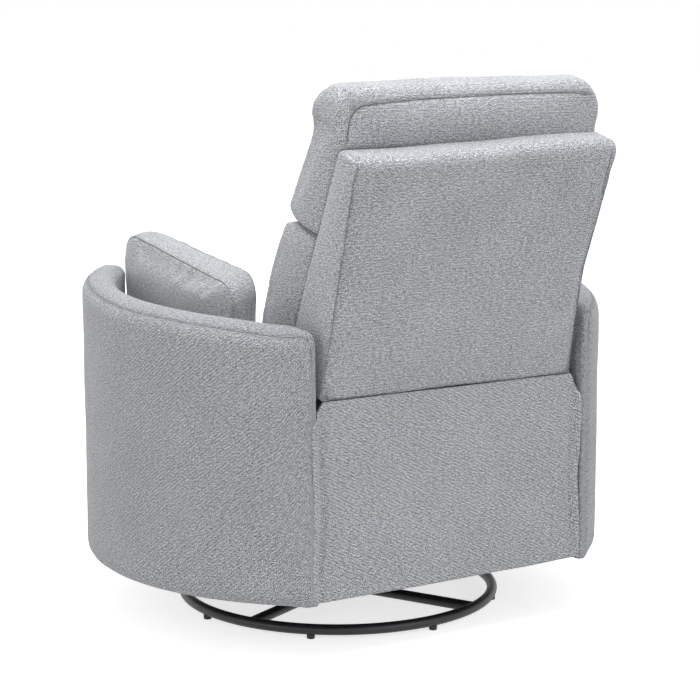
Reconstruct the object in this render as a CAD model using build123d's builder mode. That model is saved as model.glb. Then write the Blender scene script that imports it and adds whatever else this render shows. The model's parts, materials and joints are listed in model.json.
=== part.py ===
"""Swivel glider recliner: a barrel-armed recliner on four swing links and a round swivel base.

Millimetres, +Z up. The origin is on the floor, on the swivel axis. The sitter faces -Y, and +X is the
sitter's left. Left pieces are drawn and right ones are their mirror images.
"""

from build123d import *
import math
import os

os.makedirs("parts", exist_ok=True)

# ---------------------------------------------------------------- clearances
running_clearance = 0.05  # radial, a pin or shaft in a hole it turns in
fixed_clearance = 0.02  # radial, a pin or bolt in a hole that holds it
seat_gap = 0.3  # between two pieces that are seated but not pressed together
side_play = 0.5  # along a pin, between a link and its head or collar

# ---------------------------------------------------------------- round base
ring_radius = 300.0  # centre line of the base ring
tube_radius = 10.0
base_turn = 3.5  # degrees the base is turned from square to the seat
glide_count = 8
glide_radius = 7.5
glide_height = 7.0
ring_z = glide_height + tube_radius
weld_gap = 0.05
hub_radius = 95.0
hub_thickness = 5.0
post_radius = 10.0
stud_radius = 8.0
nut_size = 28.0  # across flats
nut_height = 10.0

# ---------------------------------------------------------------- swivel bearing
race_radius = 72.0  # centre line of the balls
race_width = 25.0
race_thickness = 6.0
ball_radius = 4.0
ball_count = 12
ball_clearance = 0.05
race_gap = 4.0  # between the two races
swivel_plate_size = (300.0, 250.0)
swivel_plate_thickness = 5.0
hub_z = ring_z + tube_radius
lower_race_z = hub_z + hub_thickness
ball_z = lower_race_z + race_thickness + race_gap / 2
upper_race_z = lower_race_z + race_thickness + race_gap
swivel_plate_z = upper_race_z + race_thickness
carriage_z = swivel_plate_z + swivel_plate_thickness

# ---------------------------------------------------------------- glider
plate_thickness = 4.0
layer_gap = 4.0  # between neighbouring steel plates on one pin
upright_x = 242.0  # inner face
link_x = upright_x + plate_thickness + layer_gap
mech_x = link_x + plate_thickness + layer_gap
rail_x = mech_x + plate_thickness
swing_pivot_y = 95.0  # either side of the swivel axis
swing_length = 110.0
lower_pivot_z = 135.0
upper_pivot_z = lower_pivot_z + swing_length
pivot_pin_radius = 5.0
pin_head_radius = 8.0
pin_head_thickness = 2.0
link_half_width = 15.0
bush_radius = 8.0
lug_half_width = 16.0  # of the plate round each lower pivot
lug_flare = 8.0
plate_low_z = 330.0
plate_middle_z = 320.0
plate_front_y = -365.0
plate_rear_y = 225.0
window_y = 112.0  # slots that lighten the mechanism plate
window_z = 350.0
window_length = 60.0
window_width = 26.0
window_pitch = 46.0  # between the slots of an upright
channel_y = 90.0
channel_width = 40.0
channel_height = 24.0
channel_wall = 3.0

# ---------------------------------------------------------------- seat box
side_panel_x = 285.0
side_panel_thickness = 15.0
side_panel_z = (125.0, 425.0)
box_front_y = -440.0
rail_z = (300.0, 391.0)
rail_rear_y = 322.0
front_rail_y = (-322.0, -300.0)
rear_rail_y = (228.0, 250.0)
cross_rail_top = 388.0
ledge_thickness = 12.0
bolt_radius = 4.0
bolt_places = (-250.0, 30.0, 205.0)
bolt_z = 360.0
skirt_rail_thickness = 18.0
skirt_rail_height = 40.0

# ---------------------------------------------------------------- sinuous springs
spring_places = (-200.0, -70.0, 70.0, 200.0)
spring_wire = 3.5
spring_half_width = 24.0
spring_legs = 12  # straight runs in each spring
spring_bend_radius = 17.0
clip_length = 16.0
clip_width = 24.0

# ---------------------------------------------------------------- arms
arm_half_width = 493.0  # semi-axes of the ellipse that the outer wall follows
arm_half_depth = 474.0
arm_centre_y = 16.0
arm_wall = 62.0
arm_bottom = 112.0
arm_top_at_axis = 623.7
arm_top_slope = 0.065  # the top falls this much for each unit to the rear
arm_front_x = side_panel_x + 25.0  # inner face at the front end
arm_inner_rear_x = side_panel_x + seat_gap
arm_outer_round = 34.0
arm_end_round = 22.0
arm_bottom_round = 22.0
panel_inset = 25.0  # from the outer wall to the plywood inside it
panel_thickness = 12.0
panel_bottom = 120.0
panel_top = 560.0
panel_rear_x = side_panel_x + 34.2  # outer face of the plywood at its rear end
arm_tip_x = side_panel_x + 18.0  # outer face at the rear end
web_front_x = side_panel_x + 42.7
web_rear_x = side_panel_x + side_panel_thickness
web_thickness = 12.0
deck_pad_thickness = 16.0


def on_ellipse(inset, angle):
    """A point of the arm's ellipse, drawn in by inset, at a parametric angle in degrees."""
    turn = math.radians(angle)
    return (
        (arm_half_width - inset) * math.cos(turn),
        arm_centre_y + (arm_half_depth - inset) * math.sin(turn),
    )


def ellipse_angle(inset, x):
    """The parametric angle at which the ellipse, drawn in by inset, crosses x at the rear."""
    return math.degrees(math.acos(x / (arm_half_width - inset)))


arm_front_angle = -ellipse_angle(arm_wall, arm_front_x)
web_front_angle = -ellipse_angle(arm_wall, web_front_x)
panel_rear_angle = ellipse_angle(panel_inset, panel_rear_x)
arm_rear_y = on_ellipse(0, ellipse_angle(0, arm_tip_x))[1] + 0.6
side_panel_rear_y = on_ellipse(arm_wall, ellipse_angle(arm_wall, web_rear_x))[1] - 3.6

# ---------------------------------------------------------------- back
back_foot = (arm_rear_y - 15.5, 466.0)  # y, z of the seam at the foot of the rear face
back_tilt = 15.6  # degrees from vertical
back_height = 428.0  # along the rear face
back_half_width = 268.0
back_depth_top = 61.0
back_depth_foot = 133.0
back_wall = 18.0
back_side_wall = 14.0
back_roll = 16.0
post_width = 38.0
post_foot = 20.0
post_top = back_height - 32.0
frame_rail_width = 45.0
middle_rail_width = 35.0
bracket_depth = 45.0  # of the steel brackets in front of the rear face
bracket_reach = 140.0
strap_thickness = 2.0
strap_width = 50.0
strap_count = 5
recline_pivot = (280.0, 410.0)
recline_pin_radius = 6.0
recline_boss = 17.0

# ---------------------------------------------------------------- footrest
drive_pivot = (-345.0, 375.0)
elbow = (-345.0, 215.0)
board_pivot = (-430.0, 375.0)
footrest_pin_radius = 4.0
footrest_link_half_width = 12.0
cross_tube_radius = 8.0
cross_tube_drop = 85.0  # below the drive pivot
board_rear_y = -449.0
board_thickness = 12.0
board_half_width = 290.0
board_z = (138.0, 386.0)
footrest_pad_half_width = 298.0
footrest_front_y = -486.5
bracket_half_height = 11.0
bracket_drop = 20.0
bracket_foot_width = 14.0
bracket_foot_height = 62.0

# ---------------------------------------------------------------- soft pieces
cushion_tuck = 12.0  # how far a cushion's edges draw in at its ends
footrest_crown = 11.0
pillow_hollow = 5.0  # how far the pillow's sides pull in between its corners
seat_half_width = 281.0
seat_front_y = -482.0
seat_rear_y = 172.0
seat_edge_height = 48.0
seat_crown = 26.0
back_cushion_crown = 14.0  # how much deeper the back cushions are at their middle
head_corner = 34.0  # how far the head cushion's top corners round down
head_half_width = 258.0
lumbar_half_width = 248.0
lumbar_top = 0.612 * back_height  # along the rear face of the back
head_foot = lumbar_top + 5.0
head_top = back_height + 104.0
skirt_half_width = 282.0
skirt_top = 465.7
skirt_bottom = 116.0
skirt_thickness = 5.0
skirt_flange = 36.0
skirt_middle = 180.0  # height of the middle section above the foot
skirt_folds = (4.0, 3.0, 1.0)
pillow_x = (228.0, 320.0)
pillow_y = (-285.0, 158.0)
pillow_top_front = 699.0
pillow_top_rear = 660.0
pillow_bottom = 451.6

# ---------------------------------------------------------------- release lever
lever_pivot = (-375.0, 375.0)
lever_shaft_radius = 5.0
lever_length = 105.0
lever_thickness = 6.0


def write(part, node):
    """Label a finished piece and write it under its node's name."""
    part.label = node
    export_step(part, f"parts/{node}.step")


def write_pair(left, name):
    """Write a left piece and its mirror image."""
    write(left, f"left_{name}")
    write(mirror(left, about=Plane.YZ), f"right_{name}")


def bowed_face(plane, corners, bows):
    """A closed outline, corners anticlockwise, whose sides bow outward by the given heights."""
    with BuildSketch(plane) as outline:
        with BuildLine():
            for start, end, bow in zip(corners, corners[1:] + corners[:1], bows):
                if bow:
                    SagittaArc(start, end, -bow)
                else:
                    Line(start, end)
        make_face()
    return outline.sketch


def slot_face(plane, start, end, half_width):
    """A bar with round ends about two pivots."""
    with BuildSketch(plane) as bar:
        with BuildLine():
            Line(start, end)
        trace(line_width=2 * half_width)
        with Locations(start, end):
            Circle(half_width)
    return bar.sketch


# ================================================================= base
with BuildPart() as base_ring:
    with BuildSketch(Plane.XZ):
        with Locations((ring_radius, ring_z)):
            Circle(tube_radius)
    revolve(axis=Axis.Z)
write(base_ring.part, "base_ring")

with BuildPart() as base_cross:
    for quarter in (0, 1):
        angle = math.radians(22.5 + base_turn + 90 * quarter)
        along = (math.cos(angle), math.sin(angle), 0)
        with BuildSketch(Plane(origin=(0, 0, ring_z), z_dir=along)):
            Circle(tube_radius)
        extrude(amount=ring_radius, both=True)
    with BuildSketch(Plane.XZ):
        with Locations((ring_radius, ring_z)):
            Circle(tube_radius + weld_gap)
    revolve(axis=Axis.Z, mode=Mode.SUBTRACT)
    # what the ring's cut leaves outside the ring is scrap
    with BuildSketch(Plane.XY):
        Circle(ring_radius + 2 * tube_radius)
        Circle(ring_radius, mode=Mode.SUBTRACT)
    extrude(amount=ring_z + 2 * tube_radius, mode=Mode.SUBTRACT)
write(base_cross.part, "base_cross")

with BuildPart() as glides:
    with BuildSketch(Plane.XY):
        with PolarLocations(ring_radius, glide_count, start_angle=base_turn):
            Circle(glide_radius)
    extrude(amount=glide_height + 2)
    chamfer(glides.faces().sort_by(Axis.Z)[:glide_count].edges(), 1.0)
    with BuildSketch(Plane.XZ):
        with Locations((ring_radius, ring_z)):
            Circle(tube_radius + weld_gap)
    revolve(axis=Axis.Z, mode=Mode.SUBTRACT)
write(glides.part, "glides")

with BuildPart() as hub_plate:
    with BuildSketch(Plane.XY.offset(hub_z)):
        Circle(hub_radius)
    extrude(amount=hub_thickness)
    with BuildSketch(Plane.XY.offset(lower_race_z)):
        Circle(post_radius)
    extrude(amount=carriage_z + seat_gap - lower_race_z)
    with BuildSketch(Plane.XY.offset(carriage_z + seat_gap)):
        Circle(stud_radius)
    extrude(amount=nut_height + 3)
    chamfer(hub_plate.edges().sort_by(Axis.Z)[-1], 1.0)
write(hub_plate.part, "hub_plate")

with BuildPart() as swivel_nut:
    with BuildSketch(Plane.XY.offset(carriage_z + seat_gap)):
        RegularPolygon(nut_size / 2, 6, major_radius=False)
        Circle(stud_radius + fixed_clearance, mode=Mode.SUBTRACT)
    extrude(amount=nut_height)
write(swivel_nut.part, "swivel_nut")


def bearing_race(bottom):
    """A flat ring with a ball groove at the height of the balls."""
    with BuildPart() as race:
        with BuildSketch(Plane.XZ):
            with Locations((race_radius, bottom + race_thickness / 2)):
                Rectangle(race_width, race_thickness)
            with Locations((race_radius, ball_z)):
                Circle(ball_radius + ball_clearance, mode=Mode.SUBTRACT)
        revolve(axis=Axis.Z)
    return race.part


write(bearing_race(lower_race_z), "lower_race")
write(bearing_race(upper_race_z), "upper_race")

with BuildPart() as bearing_balls:
    with Locations((0, 0, ball_z)):
        with PolarLocations(race_radius, ball_count):
            Sphere(ball_radius)
write(bearing_balls.part, "bearing_balls")

# ================================================================= swivel carriage
with BuildPart() as swivel_plate:
    with BuildSketch(Plane.XY.offset(swivel_plate_z)):
        RectangleRounded(*swivel_plate_size, 30)
        Circle(post_radius + running_clearance, mode=Mode.SUBTRACT)
    extrude(amount=swivel_plate_thickness)
write(swivel_plate.part, "swivel_plate")

with BuildPart() as cross_channels:
    with BuildSketch(Plane.YZ.offset(-upright_x)):
        for side in (-1, 1):
            with Locations((side * channel_y, carriage_z)):
                Rectangle(channel_width, channel_height, align=(Align.CENTER, Align.MIN))
            with Locations((side * channel_y, carriage_z + channel_wall)):
                Rectangle(
                    channel_width - 2 * channel_wall, channel_height,
                    align=(Align.CENTER, Align.MIN), mode=Mode.SUBTRACT,
                )
    extrude(amount=2 * upright_x)
write(cross_channels.part, "cross_channels")

with BuildPart() as upright:
    with BuildSketch(Plane.YZ.offset(upright_x)):
        with BuildLine():
            foot = channel_y + channel_width / 2
            shoulder = swing_pivot_y + link_half_width
            top = upper_pivot_z + link_half_width
            Polyline(
                (-foot, carriage_z), (foot, carriage_z), (foot, carriage_z + channel_height),
                (shoulder, top), (-shoulder, top), (-foot, carriage_z + channel_height), close=True,
            )
        make_face()
        fillet(vertices().group_by(Axis.Y)[-1], link_half_width - 1)
        with Locations((0, (carriage_z + channel_height + upper_pivot_z) / 2)):
            with Locations((-window_pitch, 0), (0, 0), (window_pitch, 0)):
                SlotCenterToCenter(window_length, window_width, rotation=90, mode=Mode.SUBTRACT)
        with Locations((-swing_pivot_y, upper_pivot_z), (swing_pivot_y, upper_pivot_z)):
            Circle(pivot_pin_radius + fixed_clearance, mode=Mode.SUBTRACT)
    extrude(amount=plate_thickness)
write_pair(upright.part, "upright")

with BuildPart() as upper_pivot_pins:
    for side in (-1, 1):
        for y in (-swing_pivot_y, swing_pivot_y):
            axle = Plane(origin=(side * upright_x, y, upper_pivot_z), z_dir=(side, 0, 0))
            reach = 2 * plate_thickness + layer_gap + side_play
            with BuildSketch(axle.offset(-pin_head_thickness)):
                Circle(pin_head_radius)
            extrude(amount=pin_head_thickness)
            with BuildSketch(axle):
                Circle(pivot_pin_radius)
            extrude(amount=reach)
            with BuildSketch(axle.offset(plate_thickness)):
                Circle(pin_head_radius)
            extrude(amount=layer_gap - side_play)
            with BuildSketch(axle.offset(reach)):
                Circle(pin_head_radius)
            extrude(amount=pin_head_thickness)
write(upper_pivot_pins.part, "upper_pivot_pins")

# ================================================================= swing links
for y, name in ((-swing_pivot_y, "front"), (swing_pivot_y, "rear")):
    eyes = ((y, lower_pivot_z), (y, upper_pivot_z))
    with BuildPart() as swing_links:
        for x in (link_x, -link_x - plate_thickness):
            extrude(slot_face(Plane.YZ.offset(x), *eyes, link_half_width), plate_thickness)
            with BuildSketch(Plane.YZ.offset(x)):
                with Locations(*eyes):
                    Circle(bush_radius + fixed_clearance)
            extrude(amount=plate_thickness, mode=Mode.SUBTRACT)
    write(swing_links.part, f"{name}_swing_links")
    with BuildPart() as link_bushes:
        for x in (link_x, -link_x - plate_thickness):
            with BuildSketch(Plane.YZ.offset(x)):
                with Locations(*eyes):
                    Circle(bush_radius)
                    Circle(pivot_pin_radius + running_clearance, mode=Mode.SUBTRACT)
            extrude(amount=plate_thickness)
    write(link_bushes.part, f"{name}_link_bushes")

# ================================================================= seat box
with BuildPart() as mechanism_plate:
    with BuildSketch(Plane.YZ.offset(mech_x)):
        with BuildLine():
            near, far = swing_pivot_y - lug_half_width, swing_pivot_y + lug_half_width
            Polyline(
                (plate_front_y, plate_low_z), (-far - lug_flare, plate_low_z), (-far, lower_pivot_z),
                (-near, lower_pivot_z), (-near + 3 * lug_flare, plate_middle_z),
                (near - 3 * lug_flare, plate_middle_z), (near, lower_pivot_z),
                (far, lower_pivot_z), (far + lug_flare, plate_low_z), (plate_rear_y, plate_low_z),
                (recline_pivot[0] + recline_boss, recline_pivot[1] - recline_boss), recline_pivot,
                (recline_pivot[0] - recline_boss, recline_pivot[1]),
                (recline_pivot[0] - bracket_depth, rail_z[1]), (plate_front_y, rail_z[1]), close=True,
            )
        make_face()
        with Locations((-swing_pivot_y, lower_pivot_z), (swing_pivot_y, lower_pivot_z)):
            Circle(lug_half_width)
            Circle(pivot_pin_radius + fixed_clearance, mode=Mode.SUBTRACT)
        with Locations(recline_pivot):
            Circle(recline_boss)
            Circle(recline_pin_radius + fixed_clearance, mode=Mode.SUBTRACT)
        with Locations(drive_pivot):
            Circle(footrest_pin_radius + fixed_clearance, mode=Mode.SUBTRACT)
        with Locations(*[(y, bolt_z) for y in bolt_places]):
            Circle(bolt_radius + fixed_clearance, mode=Mode.SUBTRACT)
        with Locations((-window_y, window_z), (window_y, window_z)):
            SlotCenterToCenter(window_length, window_width, mode=Mode.SUBTRACT)
    extrude(amount=plate_thickness)
write_pair(mechanism_plate.part, "mechanism_plate")

with BuildPart() as side_rail:
    with BuildSketch(Plane.YZ.offset(rail_x)):
        with BuildLine():
            Polyline(
                (box_front_y, rail_z[0] + 30), (box_front_y + 30, rail_z[0]), (rail_rear_y, rail_z[0]),
                (rail_rear_y, rail_z[1]), (box_front_y, rail_z[1]), close=True,
            )
        make_face()
        with Locations(*[(y, bolt_z) for y in bolt_places]):
            Circle(bolt_radius + fixed_clearance, mode=Mode.SUBTRACT)
    extrude(amount=side_panel_x - rail_x)
write_pair(side_rail.part, "side_rail")

with BuildPart() as side_panel:
    with BuildSketch(Plane.YZ.offset(side_panel_x)):
        with BuildLine():
            Polyline(
                (box_front_y, side_panel_z[0]), (side_panel_rear_y, side_panel_z[0]),
                (side_panel_rear_y, side_panel_z[1]), (box_front_y, side_panel_z[1]), close=True,
            )
        make_face()
        fillet(vertices().group_by(Axis.X)[0], 12)
        with Locations(*[(y, bolt_z) for y in bolt_places]):
            Circle(bolt_radius + fixed_clearance, mode=Mode.SUBTRACT)
    extrude(amount=side_panel_thickness)

for left, name in ((side_rail.part, "side_rail"), (side_panel.part, "side_panel")):
    write(left, f"left_{name}")
    with BuildPart() as right:
        add(mirror(left, about=Plane.YZ))
        with BuildSketch(Plane.YZ.offset(-rail_x)):
            with Locations(lever_pivot):
                Circle(lever_shaft_radius + running_clearance)
        extrude(amount=-(side_panel_x + side_panel_thickness - rail_x), mode=Mode.SUBTRACT)
    write(right.part, f"right_{name}")


def cross_board(half_width, y_range, z_range):
    """A straight board from side to side."""
    with BuildPart() as board:
        with BuildSketch(Plane.YZ.offset(-half_width)):
            with Locations((sum(y_range) / 2, sum(z_range) / 2)):
                Rectangle(y_range[1] - y_range[0], z_range[1] - z_range[0])
        extrude(amount=2 * half_width)
    return board.part


write(cross_board(mech_x, front_rail_y, (rail_z[0], cross_rail_top)), "front_rail")
write(cross_board(mech_x, rear_rail_y, (rail_z[0], cross_rail_top)), "rear_rail")
ledge_y = (box_front_y, front_rail_y[0] - seat_gap)
ledge_z = (rail_z[1], rail_z[1] + ledge_thickness)
write(cross_board(side_panel_x, ledge_y, ledge_z), "front_ledge")
skirt_rail_y = (back_foot[0] - seat_gap - skirt_rail_thickness, back_foot[0] - seat_gap)
write(cross_board(side_panel_x, skirt_rail_y, (skirt_bottom, skirt_bottom + skirt_rail_height)), "skirt_rail")

with BuildPart() as lower_pivot_pins:
    for side in (-1, 1):
        for y in (-swing_pivot_y, swing_pivot_y):
            axle = Plane(origin=(side * (mech_x + plate_thickness), y, lower_pivot_z), z_dir=(-side, 0, 0))
            reach = 2 * plate_thickness + layer_gap + side_play
            with BuildSketch(axle.offset(-pin_head_thickness)):
                Circle(pin_head_radius)
            extrude(amount=pin_head_thickness)
            with BuildSketch(axle):
                Circle(pivot_pin_radius)
            extrude(amount=reach)
            with BuildSketch(axle.offset(plate_thickness)):
                Circle(pin_head_radius)
            extrude(amount=layer_gap - side_play)
            with BuildSketch(axle.offset(reach)):
                Circle(pin_head_radius)
            extrude(amount=pin_head_thickness)
write(lower_pivot_pins.part, "lower_pivot_pins")

with BuildPart() as box_bolts:
    for side in (-1, 1):
        for y in bolt_places:
            axle = Plane(origin=(side * mech_x, y, bolt_z), z_dir=(side, 0, 0))
            stack = side_panel_x + side_panel_thickness - mech_x
            with BuildSketch(axle.offset(-3)):
                Circle(2 * bolt_radius)
            extrude(amount=3)
            with BuildSketch(axle):
                Circle(bolt_radius)
            extrude(amount=stack)
            with BuildSketch(axle.offset(stack)):
                RegularPolygon(1.7 * bolt_radius, 6, major_radius=False)
            extrude(amount=5)
write(box_bolts.part, "box_bolts")

# sinuous springs: a wire that snakes from the front rail to the rear rail
spring_ends = (sum(front_rail_y) / 2, sum(rear_rail_y) / 2)
bend_pitch = (spring_ends[1] - spring_ends[0]) / spring_legs
with BuildPart() as seat_springs:
    for x in spring_places:
        snake = []
        for leg in range(spring_legs):
            leg_x = x + spring_half_width * (1 if leg % 2 else -1)
            y = spring_ends[0] + leg * bend_pitch
            snake += [(leg_x, y), (leg_x, y + bend_pitch)]
        with BuildSketch(Plane.XY.offset(cross_rail_top)):
            with BuildLine():
                FilletPolyline(*snake, radius=spring_bend_radius)
            trace(line_width=spring_wire)
        extrude(amount=spring_wire)
write(seat_springs.part, "seat_springs")

with BuildPart() as spring_clips:
    for x in spring_places:
        for y, clip_x in zip(spring_ends, (x - spring_half_width, x + spring_half_width)):
            with BuildSketch(Plane.XZ.offset(-y - clip_length / 2)):
                with Locations((clip_x, cross_rail_top)):
                    Rectangle(clip_width, spring_wire + 3, align=(Align.CENTER, Align.MIN))
                    Rectangle(
                        spring_wire + seat_gap, spring_wire + seat_gap / 2,
                        align=(Align.CENTER, Align.MIN), mode=Mode.SUBTRACT,
                    )
            extrude(amount=clip_length)
write(spring_clips.part, "spring_clips")

# ================================================================= arms
arm_centre = (0, arm_centre_y)


def arm_arc(inset, start_angle, end_angle):
    return EllipticalCenterArc(
        arm_centre, arm_half_width - inset, arm_half_depth - inset,
        start_angle=start_angle, arc_size=end_angle - start_angle,
    )


def arm_section(plane, outer_inset, inner_inset):
    """The wall's plan outline on a plane, drawn in on both sides where an edge is rounded."""
    wall_in = arm_wall - inner_inset
    nose = min(arm_end_round, 0.4 * (wall_in - outer_inset))
    front = arm_front_angle + outer_inset / 8
    nose_turn = math.degrees(nose / arm_half_width)
    with BuildSketch(plane) as section:
        with BuildLine():
            tip_y = arm_rear_y - outer_inset / 3
            outer = arm_arc(outer_inset, front + nose_turn, ellipse_angle(outer_inset, arm_tip_x))
            inner = arm_arc(wall_in, front + nose_turn, ellipse_angle(wall_in, arm_inner_rear_x))
            nose_out = on_ellipse(outer_inset + nose, front)
            nose_in = on_ellipse(wall_in - nose, front)
            Polyline(outer @ 1, (arm_tip_x - outer_inset / 3, tip_y), (arm_inner_rear_x, tip_y), inner @ 1)
            ThreePointArc(inner @ 0, on_ellipse(wall_in - 0.3 * nose, front + 0.3 * nose_turn), nose_in)
            Line(nose_in, nose_out)
            ThreePointArc(nose_out, on_ellipse(outer_inset + 0.3 * nose, front + 0.3 * nose_turn), outer @ 0)
        make_face()
    return section.sketch


def arm_top_plane(depth):
    """A plane parallel to the sloping arm top, depth below it."""
    return Plane(origin=(0, 0, arm_top_at_axis - depth), x_dir=(1, 0, 0), z_dir=(0, arm_top_slope, 1))


with BuildPart() as arm_cover:
    loft(
        sections=[
            arm_section(Plane.XY.offset(arm_bottom), 12, 6),
            arm_section(Plane.XY.offset(arm_bottom + 7), 3, 2),
            arm_section(Plane.XY.offset(arm_bottom + arm_bottom_round), 0, 0),
            arm_section(arm_top_plane(arm_outer_round), 0, 0),
            arm_section(arm_top_plane(0.45 * arm_outer_round), 4, 1),
            arm_section(arm_top_plane(0.12 * arm_outer_round), 12, 6),
            arm_section(arm_top_plane(0), 22, 14),
        ],
        ruled=True,
    )
    # the pocket that the plywood panel stands in, open below
    with BuildSketch(Plane.XY.offset(arm_bottom)):
        with BuildLine():
            pocket_in = panel_inset + panel_thickness + seat_gap
            outer = arm_arc(panel_inset - seat_gap, arm_front_angle + 8, panel_rear_angle)
            inner = arm_arc(pocket_in, arm_front_angle + 8, panel_rear_angle)
            Line(outer @ 1, inner @ 1)
            Line(inner @ 0, outer @ 0)
        make_face()
    extrude(amount=panel_top + seat_gap - arm_bottom, mode=Mode.SUBTRACT)
write_pair(arm_cover.part, "arm_cover")

with BuildPart() as arm_panel:
    with BuildSketch(Plane.XY.offset(panel_bottom)):
        with BuildLine():
            outer = arm_arc(panel_inset, arm_front_angle + 8.1, panel_rear_angle - 0.1)
            inner = arm_arc(panel_inset + panel_thickness, arm_front_angle + 8.1, panel_rear_angle - 0.1)
            Line(outer @ 1, inner @ 1)
            Line(inner @ 0, outer @ 0)
        make_face()
    extrude(amount=panel_top - panel_bottom)
write_pair(arm_panel.part, "arm_panel")


def crescent(plane, inset):
    """The space between the straight side panel and the curved wall, drawn in all round."""
    with BuildSketch(plane) as outline:
        with BuildLine():
            curve_in = arm_wall + seat_gap + inset
            straight_x = side_panel_x + inset
            first, last = web_front_angle + inset / 5, ellipse_angle(curve_in, web_rear_x + inset)
            curve = arm_arc(curve_in, first, last)
            Polyline(curve @ 1, (straight_x, (curve @ 1).Y), (straight_x, (curve @ 0).Y), curve @ 0)
        make_face()
    return outline.sketch


deck_z = side_panel_z[1]
with BuildPart() as arm_webs:
    extrude(crescent(Plane.XY.offset(deck_z), 0), web_thickness)
    floor_plane = Plane.XY.offset(side_panel_z[0])
    extrude(crescent(floor_plane, side_panel_thickness + seat_gap), web_thickness)
write_pair(arm_webs.part, "arm_webs")

pad_foot = deck_z + web_thickness
with BuildPart() as deck_pad:
    loft(
        sections=[
            crescent(Plane.XY.offset(pad_foot), 5),
            crescent(Plane.XY.offset(pad_foot + 0.4 * deck_pad_thickness), 1),
            crescent(Plane.XY.offset(pad_foot + 0.8 * deck_pad_thickness), 5),
            crescent(Plane.XY.offset(pad_foot + deck_pad_thickness), 16),
        ],
        ruled=True,
    )
write_pair(deck_pad.part, "deck_pad")

# ================================================================= back
tilt = math.radians(back_tilt)


def back_point(height, depth):
    """y and z of a point this far up the rear face and this far in front of it."""
    return (
        back_foot[0] + height * math.sin(tilt) - depth * math.cos(tilt),
        back_foot[1] + height * math.cos(tilt) + depth * math.sin(tilt),
    )


def front_depth(height):
    """Depth of the back casing at this height up the rear face."""
    return back_depth_foot + (back_depth_top - back_depth_foot) * height / back_height


def back_slab(x, width, corners):
    """A piece of the back with one side outline, given as heights and depths."""
    with BuildPart() as slab:
        with BuildSketch(Plane.YZ.offset(x)):
            with BuildLine():
                Polyline(*[back_point(*corner) for corner in corners], close=True)
            make_face()
        extrude(amount=width)
    return slab.part


casing_corners = [(0, 0), (back_height, 0), (back_height, back_depth_top), (0, back_depth_foot)]
with BuildPart() as outside_back:
    add(back_slab(-back_half_width, 2 * back_half_width, casing_corners))
    across = outside_back.edges().filter_by(Axis.X)
    fillet(across.sort_by(Axis.Z)[-2:].sort_by(Axis.Y)[-1], back_roll)
    fillet(outside_back.edges().filter_by(Axis.X).sort_by(Axis.Z)[-1], back_roll / 2)
    top = back_height - back_wall
    add(
        back_slab(
            -back_half_width + back_side_wall, 2 * (back_half_width - back_side_wall),
            [(-1, back_wall), (top, back_wall), (top, back_depth_top + 40), (-1, back_depth_foot + 40)],
        ),
        mode=Mode.SUBTRACT,
    )
write(outside_back.part, "outside_back")


def post_depth(height):
    """How far the timber reaches forward inside the casing."""
    return front_depth(height) - strap_thickness


def timber_corners(low, high):
    rear = back_wall + seat_gap
    return [(low, rear), (high, rear), (high, post_depth(high)), (low, post_depth(low))]


frame_half_width = back_half_width - back_side_wall - plate_thickness
with BuildPart() as back_frame:
    for x in (-frame_half_width, frame_half_width - post_width):
        add(back_slab(x, post_width, timber_corners(post_foot, post_top)))
    middle_rail = (post_foot + post_top - middle_rail_width) / 2
    for low, width in (
        (post_foot, frame_rail_width), (middle_rail, middle_rail_width),
        (post_top - frame_rail_width, frame_rail_width),
    ):
        high = low + width
        add(back_slab(-frame_half_width, 2 * frame_half_width, timber_corners(low, high)))
write(back_frame.part, "back_frame")

strap_pitch = (post_top - post_foot - strap_width) / (strap_count - 1)
with BuildPart() as back_straps:
    for number in range(strap_count):
        low = post_foot + number * strap_pitch
        high = low + strap_width
        corners = [
            (low, post_depth(low)), (high, post_depth(high)),
            (high, post_depth(high) + strap_thickness), (low, post_depth(low) + strap_thickness),
        ]
        add(back_slab(-frame_half_width, 2 * frame_half_width, corners))
write(back_straps.part, "back_straps")

bracket_foot = back_point(post_foot + 10, bracket_depth)
bracket_head = back_point(post_foot + 10 + bracket_reach, bracket_depth)
with BuildPart() as back_bracket:
    extrude(slot_face(Plane.YZ.offset(frame_half_width), bracket_foot, bracket_head, 16), plate_thickness)
    extrude(slot_face(Plane.YZ.offset(frame_half_width), recline_pivot, bracket_foot, 15), plate_thickness)
    with BuildSketch(Plane.YZ.offset(frame_half_width)):
        with Locations(recline_pivot):
            Circle(recline_pin_radius + running_clearance)
    extrude(amount=plate_thickness, mode=Mode.SUBTRACT)
write_pair(back_bracket.part, "back_bracket")


def pin_pair(pivot, radius, far_x, near_x, outer_head=True):
    """Headed pins on both sides, each through everything between two widths from the middle."""
    with BuildPart() as pins:
        for side in (-1, 1):
            axle = Plane(origin=(side * near_x, *pivot), z_dir=(side, 0, 0))
            with BuildSketch(axle.offset(-pin_head_thickness)):
                Circle(radius + 3)
            extrude(amount=pin_head_thickness)
            with BuildSketch(axle):
                Circle(radius)
            extrude(amount=far_x - near_x)
            if outer_head:
                with BuildSketch(axle.offset(far_x - near_x)):
                    Circle(radius + 3)
                extrude(amount=pin_head_thickness)
    return pins.part


write(
    pin_pair(recline_pivot, recline_pin_radius, rail_x, frame_half_width - side_play),
    "recline_pins",
)

# ================================================================= cushion form
# stations across a cushion, as shares of its half width
cushion_shares = (-1, -0.95, -0.84, -0.5, 0, 0.5, 0.84, 0.95, 1)


def draw_in(share):
    """How far a cushion's edges draw in at a station, and how full its crown is there."""
    return cushion_tuck * abs(share) ** 12, 1 - 0.7 * share**2


# ================================================================= footrest
inner_link_x = link_x - plate_thickness - layer_gap


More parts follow.
